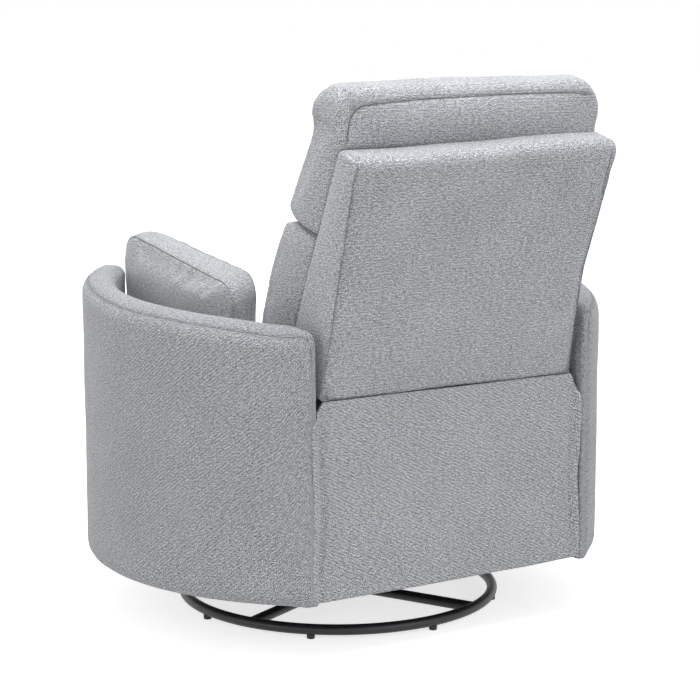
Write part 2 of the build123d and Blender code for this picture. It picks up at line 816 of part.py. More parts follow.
def link_pair(x, start, end, hole_radii):
    """A left and a right flat link with a hole at each end."""
    with BuildPart() as links:
        for near in (x, -x - plate_thickness):
            extrude(slot_face(Plane.YZ.offset(near), start, end, footrest_link_half_width), plate_thickness)
            for place, radius in zip((start, end), hole_radii):
                with BuildSketch(Plane.YZ.offset(near)):
                    with Locations(place):
                        Circle(radius)
                extrude(amount=plate_thickness, mode=Mode.SUBTRACT)
    return links.part


running_hole = footrest_pin_radius + running_clearance
fixed_hole = footrest_pin_radius + fixed_clearance
write(link_pair(link_x, drive_pivot, elbow, (running_hole, fixed_hole)), "footrest_drive_links")
write(link_pair(inner_link_x, elbow, board_pivot, (running_hole, fixed_hole)), "footrest_extension_links")
drive_pins = pin_pair(drive_pivot, footrest_pin_radius, rail_x, link_x - side_play, outer_head=False)
write(drive_pins, "footrest_drive_pins")
write(
    pin_pair(elbow, footrest_pin_radius, link_x + plate_thickness, inner_link_x - side_play),
    "footrest_elbow_pins",
)
write(
    pin_pair(board_pivot, footrest_pin_radius, link_x + plate_thickness + side_play, inner_link_x),
    "footrest_board_pins",
)

with BuildPart() as footrest_cross_tube:
    with BuildSketch(Plane.YZ.offset(-link_x)):
        with Locations((drive_pivot[0], drive_pivot[1] - cross_tube_drop)):
            Circle(cross_tube_radius)
            Circle(cross_tube_radius - 1.5, mode=Mode.SUBTRACT)
    extrude(amount=2 * link_x)
write(footrest_cross_tube.part, "footrest_cross_tube")

with BuildPart() as footrest_brackets:
    for x in (link_x, -link_x - plate_thickness):
        with BuildSketch(Plane.YZ.offset(x)):
            with Locations(board_pivot):
                Circle(bracket_half_height)
            with Locations(((board_rear_y + board_pivot[0]) / 2, board_pivot[1])):
                Rectangle(board_pivot[0] - board_rear_y, 2 * bracket_half_height)
            with Locations((board_rear_y, board_pivot[1] - bracket_drop)):
                Rectangle(bracket_foot_width, bracket_foot_height, align=(Align.MIN, Align.CENTER))
            with Locations(board_pivot):
                Circle(running_hole, mode=Mode.SUBTRACT)
        extrude(amount=plate_thickness)
write(footrest_brackets.part, "footrest_brackets")

with BuildPart() as footrest_board:
    with BuildSketch(Plane.XZ.offset(-board_rear_y)):
        with Locations((0, sum(board_z) / 2)):
            RectangleRounded(2 * board_half_width, board_z[1] - board_z[0], 12)
    extrude(amount=board_thickness)
write(footrest_board.part, "footrest_board")

pad_rear = board_rear_y - board_thickness - 2 * seat_gap
with BuildPart() as footrest_pad:
    pad_low, pad_high = board_z[0] - 8, board_z[1] + 2
    sections = []
    for share in cushion_shares:
        tuck, fullness = draw_in(share)
        front = footrest_front_y + footrest_crown + tuck
        corners = [
            (front, pad_low + tuck), (pad_rear, pad_low + tuck),
            (pad_rear, pad_high - tuck), (front, pad_high - tuck),
        ]
        bows = (2 * fullness, 0, 2 * fullness, footrest_crown * fullness)
        sections.append(bowed_face(Plane.YZ.offset(share * footrest_pad_half_width), corners, bows))
    loft(sections=sections, ruled=True)
write(footrest_pad.part, "footrest_pad")

# ================================================================= cushions
seat_z = rail_z[1] + ledge_thickness + seat_gap
with BuildPart() as seat_cushion:
    sections = []
    for share in cushion_shares:
        tuck, fullness = draw_in(share)
        top = seat_z + seat_edge_height - tuck
        corners = [
            (seat_front_y + tuck + 6, seat_z), (seat_rear_y - tuck, seat_z),
            (seat_rear_y - tuck - 6, top - 8), (seat_front_y + tuck + 8, top),
        ]
        bows = (0, 3 * fullness, seat_crown * (1 - share**2), 6 * fullness)
        sections.append(bowed_face(Plane.YZ.offset(share * seat_half_width), corners, bows))
    loft(sections=sections, ruled=True)
write(seat_cushion.part, "seat_cushion")


def back_cushion(half_width, corners, bows):
    """A cushion on the back: side outline in heights and depths, drawn in towards each end."""
    middle_height = sum(height for height, depth in corners) / len(corners)
    middle_depth = sum(depth for height, depth in corners) / len(corners)
    sections = []
    for share in cushion_shares:
        tuck, fullness = draw_in(share)
        drawn = []
        for height, depth in corners:
            on_casing = depth < middle_depth and height < back_height + 10
            height += tuck if height < middle_height else -tuck
            if height > back_height:
                height -= head_corner * abs(share) ** 24
            if on_casing:
                depth = front_depth(height) + seat_gap
            elif depth < middle_depth:
                depth += tuck
            else:
                depth += back_cushion_crown * fullness - tuck
            drawn.append(back_point(height, depth))
        drawn_bows = [bow * fullness for bow in bows]
        sections.append(bowed_face(Plane.YZ.offset(share * half_width), drawn, drawn_bows))
    with BuildPart() as cushion:
        loft(sections=sections, ruled=True)
    return cushion.part


lumbar_corners = [(2, 0), (lumbar_top, 0), (lumbar_top - 2, 154), (174, 197), (60, 216), (-44, 211)]
write(back_cushion(lumbar_half_width, lumbar_corners, (0, 2, 8, 3, 3, 6)), "lumbar_cushion")
head_corners = [
    (head_foot, 0), (back_height - 2, 0), (head_top - 8, 66), (head_top - 1, 86),
    (head_top - 18, 112), (back_height - 8, 124), (head_foot + 4, 162),
]
write(back_cushion(head_half_width, head_corners, (0, 2, 3, 4, 4, 2, 2)), "head_cushion")

# ================================================================= rear skirt
with BuildPart() as rear_skirt:
    sections = []
    skirt_face_y = back_foot[0] + skirt_thickness
    for z, fold in zip((skirt_bottom, skirt_bottom + skirt_middle, skirt_top), skirt_folds):
        fold_ends = [(skirt_half_width * (1 - n / 2), skirt_face_y) for n in range(5)]
        corners = [(-skirt_half_width, back_foot[0]), (skirt_half_width, back_foot[0])] + fold_ends[:-1]
        corners.append(fold_ends[-1])
        sections.append(bowed_face(Plane.XY.offset(z), corners, (0, 0, fold, -fold, fold, -fold, 0)))
    loft(sections=sections, ruled=True)
    # side flanges that tuck in behind the arms
    for side in (-1, 1):
        with BuildSketch(Plane.XY.offset(skirt_bottom + skirt_rail_height + 5)):
            with Locations((side * (skirt_half_width - skirt_thickness / 2), back_foot[0] + 1)):
                Rectangle(skirt_thickness, skirt_flange, align=(Align.CENTER, Align.MAX))
        extrude(amount=skirt_top - skirt_bottom - skirt_rail_height - 40)
write(rear_skirt.part, "rear_skirt")

# ================================================================= pillow
with BuildPart() as pillow:
    sections = []
    middle_x = sum(pillow_x) / 2
    half_thickness = (pillow_x[1] - pillow_x[0]) / 2
    for share, inset in ((-1, 44), (-0.9, 22), (-0.6, 6), (-0.3, 0), (0.3, 0), (0.6, 6), (0.9, 22), (1, 44)):
        foot = pillow_bottom + inset * 0.25
        corners = [
            (pillow_y[0] + inset, foot), (pillow_y[1] - inset, foot),
            (pillow_y[1] - inset, pillow_top_rear - inset), (pillow_y[0] + inset, pillow_top_front - inset),
        ]
        plane = Plane.YZ.offset(middle_x + share * half_thickness)
        sections.append(bowed_face(plane, corners, (0, -pillow_hollow, -pillow_hollow, -pillow_hollow)))
    loft(sections=sections, ruled=True)
write(pillow.part, "pillow")

# ================================================================= release lever
lever_x = -(side_panel_x + side_panel_thickness)
with BuildPart() as release_lever:
    tip = (lever_pivot[0] - lever_length * math.cos(math.radians(25)),
           lever_pivot[1] + lever_length * math.sin(math.radians(25)))
    bar_plane = Plane.YZ.offset(lever_x - side_play - lever_thickness)
    extrude(slot_face(bar_plane, lever_pivot, tip, 11), lever_thickness)
    fillet(release_lever.faces().sort_by(Axis.X)[0].edges(), 2.5)
    with BuildSketch(Plane.YZ.offset(-rail_x)):
        with Locations(lever_pivot):
            Circle(lever_shaft_radius)
    extrude(amount=-(side_panel_x + side_panel_thickness - rail_x + side_play))
write(release_lever.part, "release_lever")
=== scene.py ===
"""Swivel glider recliner: upholstery, finishes and stage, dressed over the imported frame.

Shapes are worked out in millimetres and laid into the frame in metres. The sitter faces -Y, and +X is
the sitter's left.
"""

import json
import math

import bmesh
import bpy
from mathutils import Matrix, Vector, noise
from mathutils.bvhtree import BVHTree
from mathutils.kdtree import KDTree

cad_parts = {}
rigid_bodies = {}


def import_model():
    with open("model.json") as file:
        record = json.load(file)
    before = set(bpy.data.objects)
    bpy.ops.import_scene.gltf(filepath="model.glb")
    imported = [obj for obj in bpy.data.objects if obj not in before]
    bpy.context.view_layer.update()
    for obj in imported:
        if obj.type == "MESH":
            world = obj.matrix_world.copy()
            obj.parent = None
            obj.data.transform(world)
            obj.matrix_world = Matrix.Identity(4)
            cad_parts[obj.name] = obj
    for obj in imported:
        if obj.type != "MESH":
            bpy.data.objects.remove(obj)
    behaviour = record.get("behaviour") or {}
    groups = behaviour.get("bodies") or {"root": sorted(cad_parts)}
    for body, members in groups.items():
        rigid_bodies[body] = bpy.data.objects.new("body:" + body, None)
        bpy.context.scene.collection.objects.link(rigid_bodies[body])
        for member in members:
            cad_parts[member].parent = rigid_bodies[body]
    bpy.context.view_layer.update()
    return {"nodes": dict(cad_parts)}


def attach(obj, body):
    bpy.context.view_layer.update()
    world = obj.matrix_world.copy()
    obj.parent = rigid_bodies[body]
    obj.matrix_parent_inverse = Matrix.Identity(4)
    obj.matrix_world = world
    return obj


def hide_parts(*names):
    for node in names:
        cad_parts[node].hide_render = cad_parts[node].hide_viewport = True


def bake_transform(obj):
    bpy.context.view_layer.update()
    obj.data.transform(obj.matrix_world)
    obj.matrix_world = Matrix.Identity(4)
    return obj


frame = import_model()
scene = bpy.context.scene
MM = 0.001

# -------- sizes shared with the CAD model
arm_half_width = 493.0
arm_half_depth = 474.0
arm_centre_y = 16.0
arm_wall = 62.0
arm_bottom = 112.0
arm_front_angle = -44.0
arm_turn_angle = 42.0  # from here the inner face leaves the outer one's pace
arm_tip_angle = 52.07
arm_inner_x = 285.3
arm_rear_y = 390.5
back_foot = (375.0, 466.0)
back_tilt = math.radians(15.6)
back_height = 428.0
back_half_width = 268.0
back_up = Vector((0, math.sin(back_tilt), math.cos(back_tilt)))
back_rear = Vector((0, math.cos(back_tilt), -math.sin(back_tilt)))


# ======== small makers' tools
def arm_top(y):
    """Height of the sloping arm top, which eases down towards both ends."""
    settled = 4.0 * ease(y, -150.0, 60.0) + 5.0 * ease(y, 230.0, 380.0) + 3.0 * ease(-y, 150.0, 310.0)
    return 623.7 - 0.065 * y - settled


def back_point(height, depth):
    """y and z of a point this far up the rear face of the back and this far in front of it."""
    y = back_foot[0] + height * math.sin(back_tilt) - depth * math.cos(back_tilt)
    z = back_foot[1] + height * math.cos(back_tilt) + depth * math.sin(back_tilt)
    return y, z


def along_back(place):
    """Height and depth along the back of a place in millimetres."""
    rise, run = place.z - back_foot[1], place.y - back_foot[0]
    height = rise * math.cos(back_tilt) + run * math.sin(back_tilt)
    return height, rise * math.sin(back_tilt) - run * math.cos(back_tilt)


def casing_depth(height):
    """Depth of the back casing at this height up the rear face."""
    return 133.0 - 72.0 * height / back_height


def mix(a, b, share):
    return a + (b - a) * share


def ease(value, low, high):
    """0 below low, 1 above high, smooth between."""
    share = min(max((value - low) / (high - low), 0.0), 1.0)
    return share * share * (3 - 2 * share)


def hill(distance, width):
    """1 at no distance, falling off smoothly on both sides."""
    return math.exp(-((distance / width) ** 2))


def rounding_steps(turns):
    """How far a rounded edge is from its two ends, as shares of its radius, at angles in degrees."""
    return [(1 - math.cos(math.radians(turn)), 1 - math.sin(math.radians(turn))) for turn in turns]


def in_scene(name, data):
    """A new object that holds this data."""
    made = bpy.data.objects.new(name, data)
    scene.collection.objects.link(made)
    return made


def make_piece(name, points, faces, finish):
    """A smooth mesh object from points in millimetres."""
    mesh = bpy.data.meshes.new(name)
    mesh.from_pydata([Vector(point) * MM for point in points], [], faces)
    mesh.materials.append(finish)
    mesh.polygons.foreach_set("use_smooth", [True] * len(mesh.polygons))
    return in_scene(name, mesh)


def dress(made, node, body):
    """Hide the frame part that a piece stands in for, and hand the piece to the body that carries it."""
    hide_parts(node)
    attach(made, body)


def turn_outward(made):
    """Recalculate the normals of a closed shell."""
    shell = bmesh.new()
    shell.from_mesh(made.data)
    bmesh.ops.recalc_face_normals(shell, faces=shell.faces)
    shell.to_mesh(made.data)
    shell.free()


def bridge(first, second, count):
    """Quads between two closed rings that start at these vertex numbers."""
    faces = []
    for step in range(count):
        after = (step + 1) % count
        faces.append((first + step, first + after, second + after, second + step))
    return faces


def bridge_all(rings, count):
    """Quads between each of these closed rings and the next."""
    faces = []
    for ring in range(rings - 1):
        faces += bridge(ring * count, (ring + 1) * count, count)
    return faces


def rounded_outline(corners, radii, runs, corner_steps=6):
    """Points round a closed outline with rounded corners and a fixed number of steps on each side."""
    arcs = []
    for number, corner in enumerate(corners):
        here = Vector(corner)
        back = (Vector(corners[number - 1]) - here).normalized()
        ahead = (Vector(corners[(number + 1) % len(corners)]) - here).normalized()
        half = back.angle(ahead) / 2
        reach = radii[number] / math.tan(half)
        centre = here + (back + ahead).normalized() * radii[number] / math.sin(half)
        first = (here + back * reach - centre).normalized()
        last = (here + ahead * reach - centre).normalized()
        arc = []
        for step in range(corner_steps + 1):
            arc.append(centre + first.slerp(last, step / corner_steps, first) * radii[number])
        arcs.append(arc)
    outline = []
    for number, arc in enumerate(arcs):
        outline += arc
        after = arcs[(number + 1) % len(arcs)][0]
        for step in range(1, runs[number]):
            outline.append(arc[-1].lerp(after, step / runs[number]))
    return outline


def shell_across(name, stations, finish, dome=(0.0, 0.0)):
    """A closed shell from outlines in (y, z) at stations along X, with domed ends."""
    count = len(stations[0][1])
    points = [(x, y, z) for x, outline in stations for y, z in outline]
    faces = bridge_all(len(stations), count)
    for end, swell in ((0, dome[0]), (-1, dome[1])):
        x, outline = stations[end]
        side = 1 if end else -1
        middle = sum((Vector(point) for point in outline), Vector((0, 0))) / count
        ring = 0 if end == 0 else (len(stations) - 1) * count
        for share in (0.86, 0.68, 0.48, 0.25):
            start = len(points)
            rise = side * swell * (1 - share * share)
            points += [(x + rise, *middle.lerp(Vector(point), share)) for point in outline]
            faces += bridge(ring, start, count)
            ring = start
        points.append((x + side * swell, middle.x, middle.y))
        tip = len(points) - 1
        faces += [(ring + step, ring + (step + 1) % count, tip) for step in range(count)]
    made = make_piece(name, points, faces, finish)
    turn_outward(made)
    return made


def outline_in(corners, radii, inset, runs, corner_steps):
    """A rounded outline with its corners moved inward by inset, and its radii with them."""
    count = len(corners)
    area = sum(
        corners[n][0] * corners[(n + 1) % count][1] - corners[(n + 1) % count][0] * corners[n][1]
        for n in range(count)
    )
    side = 1.0 if area > 0 else -1.0
    moved, kept = [], []
    for number in range(count):
        here = Vector(corners[number])
        before = (here - Vector(corners[number - 1])).normalized()
        after = (Vector(corners[(number + 1) % count]) - here).normalized()
        first, second = Vector((-before.y, before.x)) * side, Vector((-after.y, after.x)) * side
        moved.append(here + (first + second) * inset / (1 + first.dot(second)))
        bends_in = before.x * after.y - before.y * after.x
        kept.append(max(radii[number] - inset, 1.5) if bends_in * side > 0 else radii[number] + inset)
    return rounded_outline(moved, kept, runs, corner_steps)


def with_normals(mesh):
    """Each vertex with the normal that it has before any of them moves."""
    return list(zip(mesh.vertices, [vertex.normal.copy() for vertex in mesh.vertices]))


def soften(made, size, depth, seed, rising=None):
    """Low, uneven swells over a piece, as fabric over foam has, growing over a span of heights."""
    mesh = made.data
    offset = Vector((seed * 7.3, seed * 3.1, seed * 1.7))
    for vertex, normal in with_normals(mesh):
        place = vertex.co / (size * MM) + offset
        amount = noise.noise(place) + 0.5 * noise.noise(place * 2.1)
        share = ease((vertex.co / MM).z, *rising) if rising else 1.0
        vertex.co += normal * amount * depth * MM * share
    mesh.update()


def press_line(made, line, depth, width):
    """Press a sewn groove into a piece along a line of points in millimetres, and store painted shade for
    the groove in seam_shade.
    """
    tree = KDTree(len(line))
    for number, point in enumerate(line):
        tree.insert(Vector(point) * MM, number)
    tree.balance()
    mesh = made.data
    shade = mesh.attributes.get("seam_shade") or mesh.attributes.new("seam_shade", "FLOAT", "POINT")
    for (vertex, normal), dark in zip(with_normals(mesh), shade.data):
        far = tree.find(vertex.co)[2] / MM
        if far < 4 * width:
            vertex.co -= normal * depth * MM * hill(far, width)
            # painted shade: how much the cloth's colour darkens here, as shade in the groove
            dark.value = max(dark.value, hill(far, 0.6 * width))
    mesh.update()


def smooth_path(corners, spacing=4.0, closed=False):
    """Evenly spaced points on a smooth line through a few given ones."""
    knots = [Vector(corner) for corner in corners]
    count = len(knots)
    spans = count if closed else count - 1
    dense = []
    for number in range(spans):
        here, after = knots[number], knots[(number + 1) % count]
        before = knots[number - 1] if closed or number else here + (here - after)
        beyond = knots[(number + 2) % count] if closed or number + 2 < count else after + (after - here)
        for step in range(24):
            t = step / 24
            dense.append(
                0.5 * (
                    2 * here + (after - before) * t
                    + (2 * before - 5 * here + 4 * after - beyond) * t * t
                    + (3 * here - before - 3 * after + beyond) * t * t * t
                )
            )
    dense.append(knots[0] if closed else knots[-1])
    even, left = [dense[0]], spacing
    for here, after in zip(dense, dense[1:]):
        length = (after - here).length
        walked = 0.0
        while length - walked >= left:
            walked += left
            even.append(here.lerp(after, walked / length))
            left = spacing
        left -= length - walked
    return even


def laid_on(made, line, lift=0.0):
    """A line of points moved to the nearest place on a piece's surface, and lifted off it."""
    mesh = made.data
    tree = BVHTree.FromPolygons(
        [vertex.co.copy() for vertex in mesh.vertices], [tuple(face.vertices) for face in mesh.polygons]
    )
    laid = []
    for point in line:
        place, normal, index, far = tree.find_nearest(Vector(point) * MM)
        laid.append((place / MM + normal * lift, normal))
    return laid


def on_piece(made, line, lift=0.0):
    """The places alone of a line laid on a piece."""
    return [place for place, normal in laid_on(made, line, lift)]


cloth_frames = 20


def puff(made, voxel, cap_at, held, pressure):
    """Remesh a cushion, inflate it as cloth, and keep every point within its cap of where it began."""
    mesher = made.modifiers.new("even_mesh", "REMESH")
    mesher.mode = "VOXEL"
    mesher.voxel_size = voxel * MM
    mesher.use_smooth_shade = True
    settle(made)
    mesh = made.data
    start = [vertex.co.copy() for vertex in mesh.vertices]
    group = made.vertex_groups.new(name="held")
    for vertex in mesh.vertices:
        weight = held(vertex.co / MM)
        if weight > 0:
            group.add([vertex.index], weight, "REPLACE")
    cloth = made.modifiers.new("fabric", "CLOTH")
    fabric = {
        "vertex_group_mass": "held", "use_pressure": True, "uniform_pressure_force": pressure,
        "quality": 4, "mass": 0.35, "tension_stiffness": 22, "compression_stiffness": 22,
        "shear_stiffness": 10, "bending_stiffness": 2.5,
    }
    for key, value in fabric.items():
        setattr(cloth.settings, key, value)
    cloth.settings.effector_weights.gravity = 0.0
    cloth.collision_settings.use_collision = False
    cloth.collision_settings.use_self_collision = False
    cloth.point_cache.frame_start = 1
    cloth.point_cache.frame_end = cloth_frames
    for step in range(1, cloth_frames + 1):
        scene.frame_set(step)
    after = [vertex.co.copy() for vertex in evaluated(made).data.vertices]
    made.modifiers.clear()
    scene.frame_set(1)
    for vertex, before, place in zip(mesh.vertices, start, after):
        move = place - before
        cap = cap_at(before / MM) * MM
        if move.length > cap:
            move *= cap / move.length
        vertex.co = before + move
    mesh.update()
    made.vertex_groups.clear()
    refine(made, 1)


def refine(made, levels):
    """Divide a piece's faces into smoother ones."""
    finer = made.modifiers.new("finer", "SUBSURF")
    finer.levels = levels
    finer.render_levels = levels
    settle(made)


def evaluated(made):
    """A piece as its modifiers leave it."""
    return made.evaluated_get(bpy.context.evaluated_depsgraph_get())


def flatten(made):
    """Turn a piece and its modifiers into a plain mesh."""
    plain = bpy.data.meshes.new_from_object(evaluated(made))
    made.modifiers.clear()
    made.data = plain
    return plain


def settle(made):
    """Flatten a piece that has one smooth finish."""
    finish = made.data.materials[0]
    plain = flatten(made)
    plain.materials.clear()
    plain.materials.append(finish)
    plain.polygons.foreach_set("use_smooth", [True] * len(plain.polygons))
    plain.update()


def lay_grain(made, rule=None):
    """Lay the fabric's grain on a piece as a UV map in metres, across and up."""
    mesh = made.data
    layer = mesh.uv_layers.new(name="grain")
    places = [vertex.co.copy() for vertex in mesh.vertices]
    spots = []
    for face in mesh.polygons:
        x_side, y_side, z_side = (abs(share) for share in face.normal)
        for number in face.vertices:
            x, y, z = places[number]
            if rule:
                spots += rule[number]
            elif x_side > max(y_side, z_side) * 1.1:
                spots += (y, z)
            elif y_side >= z_side:
                spots += (x, z)
            else:
                spots += (x, y)
    layer.uv.foreach_set("vector", spots)


# ======== finishes
class Wiring:
    """Shader nodes with short names for what is wired most."""

    def __init__(self, tree, shader):
        self.nodes = tree.nodes
        self.links = tree.links
        self.shader = self.nodes[shader]

    def add(self, kind, inputs=(), **settings):
        node = self.nodes.new(kind)
        for key, value in settings.items():
            setattr(node, key, value)
        for key, value in dict(inputs).items():
            self.give(node.inputs[key], value)
        return node

    def give(self, socket, value):
        if isinstance(value, bpy.types.NodeSocket):
            self.links.new(value, socket)
        else:
            socket.default_value = value

    def sums(self, operation, first, second):
        return self.add("ShaderNodeMath", {0: first, 1: second}, operation=operation).outputs[0]

    def set(self, **values):
        """Values or links for the shader, whose inputs are named with _ for each space."""
        for name, value in values.items():
            self.give(self.shader.inputs[name.replace("_", " ")], value)

    def looking(self):
        """1 for the rays that look, straight or by way of a mirror or glass, and 0 for those that light."""
        path = self.add("ShaderNodeLightPath")
        either = self.sums("MAXIMUM", path.outputs["Is Camera Ray"], path.outputs["Is Glossy Ray"])
        return self.sums("MAXIMUM", either, path.outputs["Is Transmission Ray"])


class Finish(Wiring):
    """A node material with the textures that its surfaces are made of."""

    def __init__(self, name):
        self.material = bpy.data.materials.new(name)
        self.material.use_nodes = True
        super().__init__(self.material.node_tree, "Principled BSDF")

    def mapped(self, vector, scale, turn=0.0):
        inputs = {"Vector": vector, "Scale": scale, "Rotation": (0, 0, math.radians(turn))}
        return self.add("ShaderNodeMapping", inputs).outputs["Vector"]

    def objects(self, scale=(1, 1, 1)):
        return self.mapped(self.add("ShaderNodeTexCoord").outputs["Object"], scale)

    def grain(self, scale, turn):
        return self.mapped(self.add("ShaderNodeUVMap", uv_map="grain").outputs["UV"], scale, turn)

    def noise(self, vector, scale, detail=2.0, roughness=0.5, distortion=0.0):
        inputs = {"Scale": scale, "Detail": detail, "Roughness": roughness, "Distortion": distortion}
        return self.add("ShaderNodeTexNoise", {"Vector": vector, **inputs}).outputs["Fac"]

    def ramp(self, fac, stops):
        node = self.add("ShaderNodeValToRGB", {"Fac": fac})
        line = node.color_ramp
        while len(line.elements) < len(stops):
            line.elements.new(0.5)
        for element, (place, colour) in zip(line.elements, stops):
            element.position = place
            element.color = (*colour, 1)
        return node.outputs["Color"]

    def waves(self, vector, direction, scale, distortion, detail=2.0, detail_scale=1.0, roughness=0.5):
        return self.add(
            "ShaderNodeTexWave",
            {
                "Vector": vector, "Scale": scale, "Distortion": distortion, "Detail": detail,
                "Detail Scale": detail_scale, "Detail Roughness": roughness,
            },
            wave_type="BANDS", bands_direction=direction,
        ).outputs["Fac"]

    def weigh(self, *parts):
        """The sum of several values, each times its weight."""
        total = None
        for value, weight in parts:
            part = self.sums("MULTIPLY", value, weight)
            total = part if total is None else self.sums("ADD", total, part)
        return total

    def bump(self, height, strength, distance):
        node = self.add("ShaderNodeBump", {"Height": height, "Strength": strength, "Distance": distance})
        self.set(Normal=node.outputs["Normal"])


def grey(level, cool=0.03):
    return (level * (1 - cool), level, level * (1 + 1.6 * cool))


def chenille(name, turn, level, contrast, rib=5.0, rib_share=0.06, nap=0.22, on_board=False):
    """Light grey heathered cloth: broken slubs of paler and darker yarn over a faint rib."""
    cloth = Finish(name)

    def weave(stretch=(1, 1, 1)):
        """The yarn follows a piece's own grain, or runs straight over a board that is wrapped in it."""
        return cloth.objects(stretch) if on_board else cloth.grain(stretch, turn)

    wave_pitch = 0.314  # scale of a wave texture that gives one band to a metre
    ribs = cloth.waves(weave(), "Y", wave_pitch / (rib * MM), 2.2, 2.0, 3.0, 0.6)
    slubs = cloth.noise(weave((0.4, 1, 1)), 1 / (2.8 * MM), 1.0)
    flecks = cloth.noise(weave((0.85, 1, 1)), 1 / (1.1 * MM), 0.0)
    fibres = cloth.noise(weave((0.9, 1, 1)), 1 / (0.75 * MM), 0.0)
    clouds = cloth.noise(cloth.objects(), 11.0, 3.0, 0.55)
    tone = cloth.weigh(
        (slubs, 0.17), (flecks, 0.46), (fibres, 0.33 - rib_share / 2), (ribs, rib_share),
        (clouds, 0.04 - rib_share / 2),
    )
    stops = ((0.36, -1.0), (0.47, -0.25), (0.55, 0.35), (0.66, 1.5))
    colour = cloth.ramp(tone, [(place, grey(level * (1 + share * contrast))) for place, share in stops])
    # painted shade: along the pressed seams the colour is mixed towards a darker grey, the shade that falls
    # in their grooves
    seam = cloth.add("ShaderNodeAttribute", attribute_name="seam_shade").outputs["Fac"]
    mixed = cloth.add(
        "ShaderNodeMixRGB",
        {"Fac": cloth.sums("MULTIPLY", seam, 0.5), "Color1": colour, "Color2": (*grey(0.35 * level), 1)},
    )
    cloth.bump(tone, 0.6, 1.6 * MM)
    cloth.set(
        Base_Color=mixed.outputs["Color"], Roughness=0.92, Sheen_Weight=nap, Sheen_Roughness=0.45,
        Specular_IOR_Level=0.25,
    )
    return cloth.material


def powder_coat():
    """Satin black powder coat with a fine orange-peel skin."""
    coat = Finish("black_powder_coat")
    peel = coat.noise(coat.objects(), 900.0, 2.0)
    broad = coat.noise(coat.objects(), 14.0, 3.0)
    coat.bump(peel, 0.16, 0.25 * MM)
    shade = coat.ramp(broad, [(0.35, (0.009, 0.0095, 0.012)), (0.65, (0.015, 0.016, 0.020))])
    rough = coat.sums("ADD", coat.sums("MULTIPLY", broad, 0.16), 0.30)
    coat.set(Base_Color=shade, Roughness=rough, Specular_IOR_Level=0.5)
    return coat.material


def brushed_metal(name, level, rough, streak, tone=0.0):
    """Bare or plated steel with rolling streaks, cloudy wear and a few dull spots."""
    metal = Finish(name)
    streaks = metal.noise(metal.objects((1, streak, 1)), 420.0, 3.0, 0.6)
    clouds = metal.noise(metal.objects(), 24.0, 4.0, 0.6)
    shade = metal.weigh((streaks, 0.4), (clouds, 0.6))
    stops = []
    for place, value in ((0.35, level * 0.72), (0.65, level * 1.22)):
        stops.append((place, (value * (1 + tone), value, value * (1 - tone))))
    dulled = metal.sums("ADD", metal.sums("MULTIPLY", clouds, 0.3), rough - 0.15)
    metal.set(Base_Color=metal.ramp(shade, stops), Roughness=dulled, Metallic=1.0)
    metal.bump(streaks, 0.12, 0.15 * MM)
    return metal.material


def sawn_timber(name, along, pale, dark, ring_scale):
    """Planed softwood or plywood: long grain drawn out along one axis, with pores."""
    wood = Finish(name)
    stretch = tuple(0.06 if axis == along else 1.0 for axis in "XYZ")
    warp = wood.noise(wood.objects(stretch), 26.0, 3.0, 0.55, 0.6)
    rings = wood.waves(wood.objects(stretch), "Z", ring_scale, 7.0, 3.0, 1.4)
    pores = wood.noise(wood.objects(stretch), 700.0, 2.0, 0.7)
    shade = wood.weigh((rings, 0.35), (warp, 0.45), (pores, 0.2))
    wood.set(Base_Color=wood.ramp(shade, [(0.3, dark), (0.7, pale)]), Roughness=0.68)
    wood.bump(wood.sums("ADD", pores, wood.sums("MULTIPLY", rings, 0.5)), 0.25, 0.4 * MM)
    return wood.material


def fine_grained(name, scale, uneven, stops, rough, bump):
    """Something with one fine grain, in its tone and in its surface: moulded nylon, twisted thread."""
    finish = Finish(name)
    speck = finish.noise(finish.objects(), scale, 2.0, uneven)
    finish.set(Base_Color=finish.ramp(speck, stops), Roughness=rough)
    finish.bump(speck, bump, 0.2 * MM)
    return finish.material


def woven_strap():
    """Black woven elastic webbing with ribs across it."""
    strap = Finish("woven_strap")
    ribs = strap.waves(strap.objects(), "X", 120.0, 0.6, 1.0)
    yarns = strap.noise(strap.objects(), 800.0)
    shade = strap.ramp(ribs, [(0.2, (0.012, 0.012, 0.014)), (0.8, (0.03, 0.03, 0.034))])
    strap.set(Base_Color=shade, Roughness=0.9)
    strap.bump(strap.sums("ADD", ribs, strap.sums("MULTIPLY", yarns, 0.5)), 0.5, 0.5 * MM)
    return strap.material


# contrast and colour follow the three looks of the one cloth in the photograph; as copies of one cloth, the
# arm's lower level is painted shade and the pillow's higher level painted light
back_cloth = chenille("back_cloth", 0.0, 0.296, 1.9, 5.0, 0.016)
flap_cloth = chenille("flap_cloth", -28.0, 0.292, 1.8, 5.4, 0.034)
shaded_arm_cloth = chenille("shaded_arm_cloth", -38.0, 0.248, 1.8, 5.4, 0.034)
lit_pillow_cloth = chenille("lit_pillow_cloth", 0.0, 0.315, 1.3, 3.6, 0.01, 0.32)
board_cloth = chenille("board_cloth", 0.0, 0.296, 1.9, 5.0, 0.016, on_board=True)
# painted shadow: a dark copy of the cloth for the lines laid in the seams' creases
seam_shadow = chenille("seam_shadow", 0.0, 0.13, 0.5)
powder = powder_coat()
mechanism = brushed_metal("mechanism_steel", 0.30, 0.38, 0.08)
zinc = brushed_metal("zinc_plate", 0.55, 0.30, 0.3, 0.02)
bright = brushed_metal("bearing_steel", 0.62, 0.2, 0.5)
nylon_tones = [(0.4, (0.014, 0.014, 0.015)), (0.6, (0.022, 0.022, 0.024))]
nylon = fine_grained("moulded_nylon", 1500.0, 0.6, nylon_tones, 0.5, 0.2)
pine = sawn_timber("planed_pine", "X", (0.60, 0.43, 0.25), (0.42, 0.27, 0.14), 9.0)
ply = sawn_timber("birch_plywood", "Y", (0.62, 0.49, 0.33), (0.47, 0.34, 0.20), 5.0)
strap_cloth = woven_strap()
thread = fine_grained("sewing_thread", 1600.0, 0.5, [(0.3, grey(0.20)), (0.7, grey(0.34))], 0.7, 0.3)

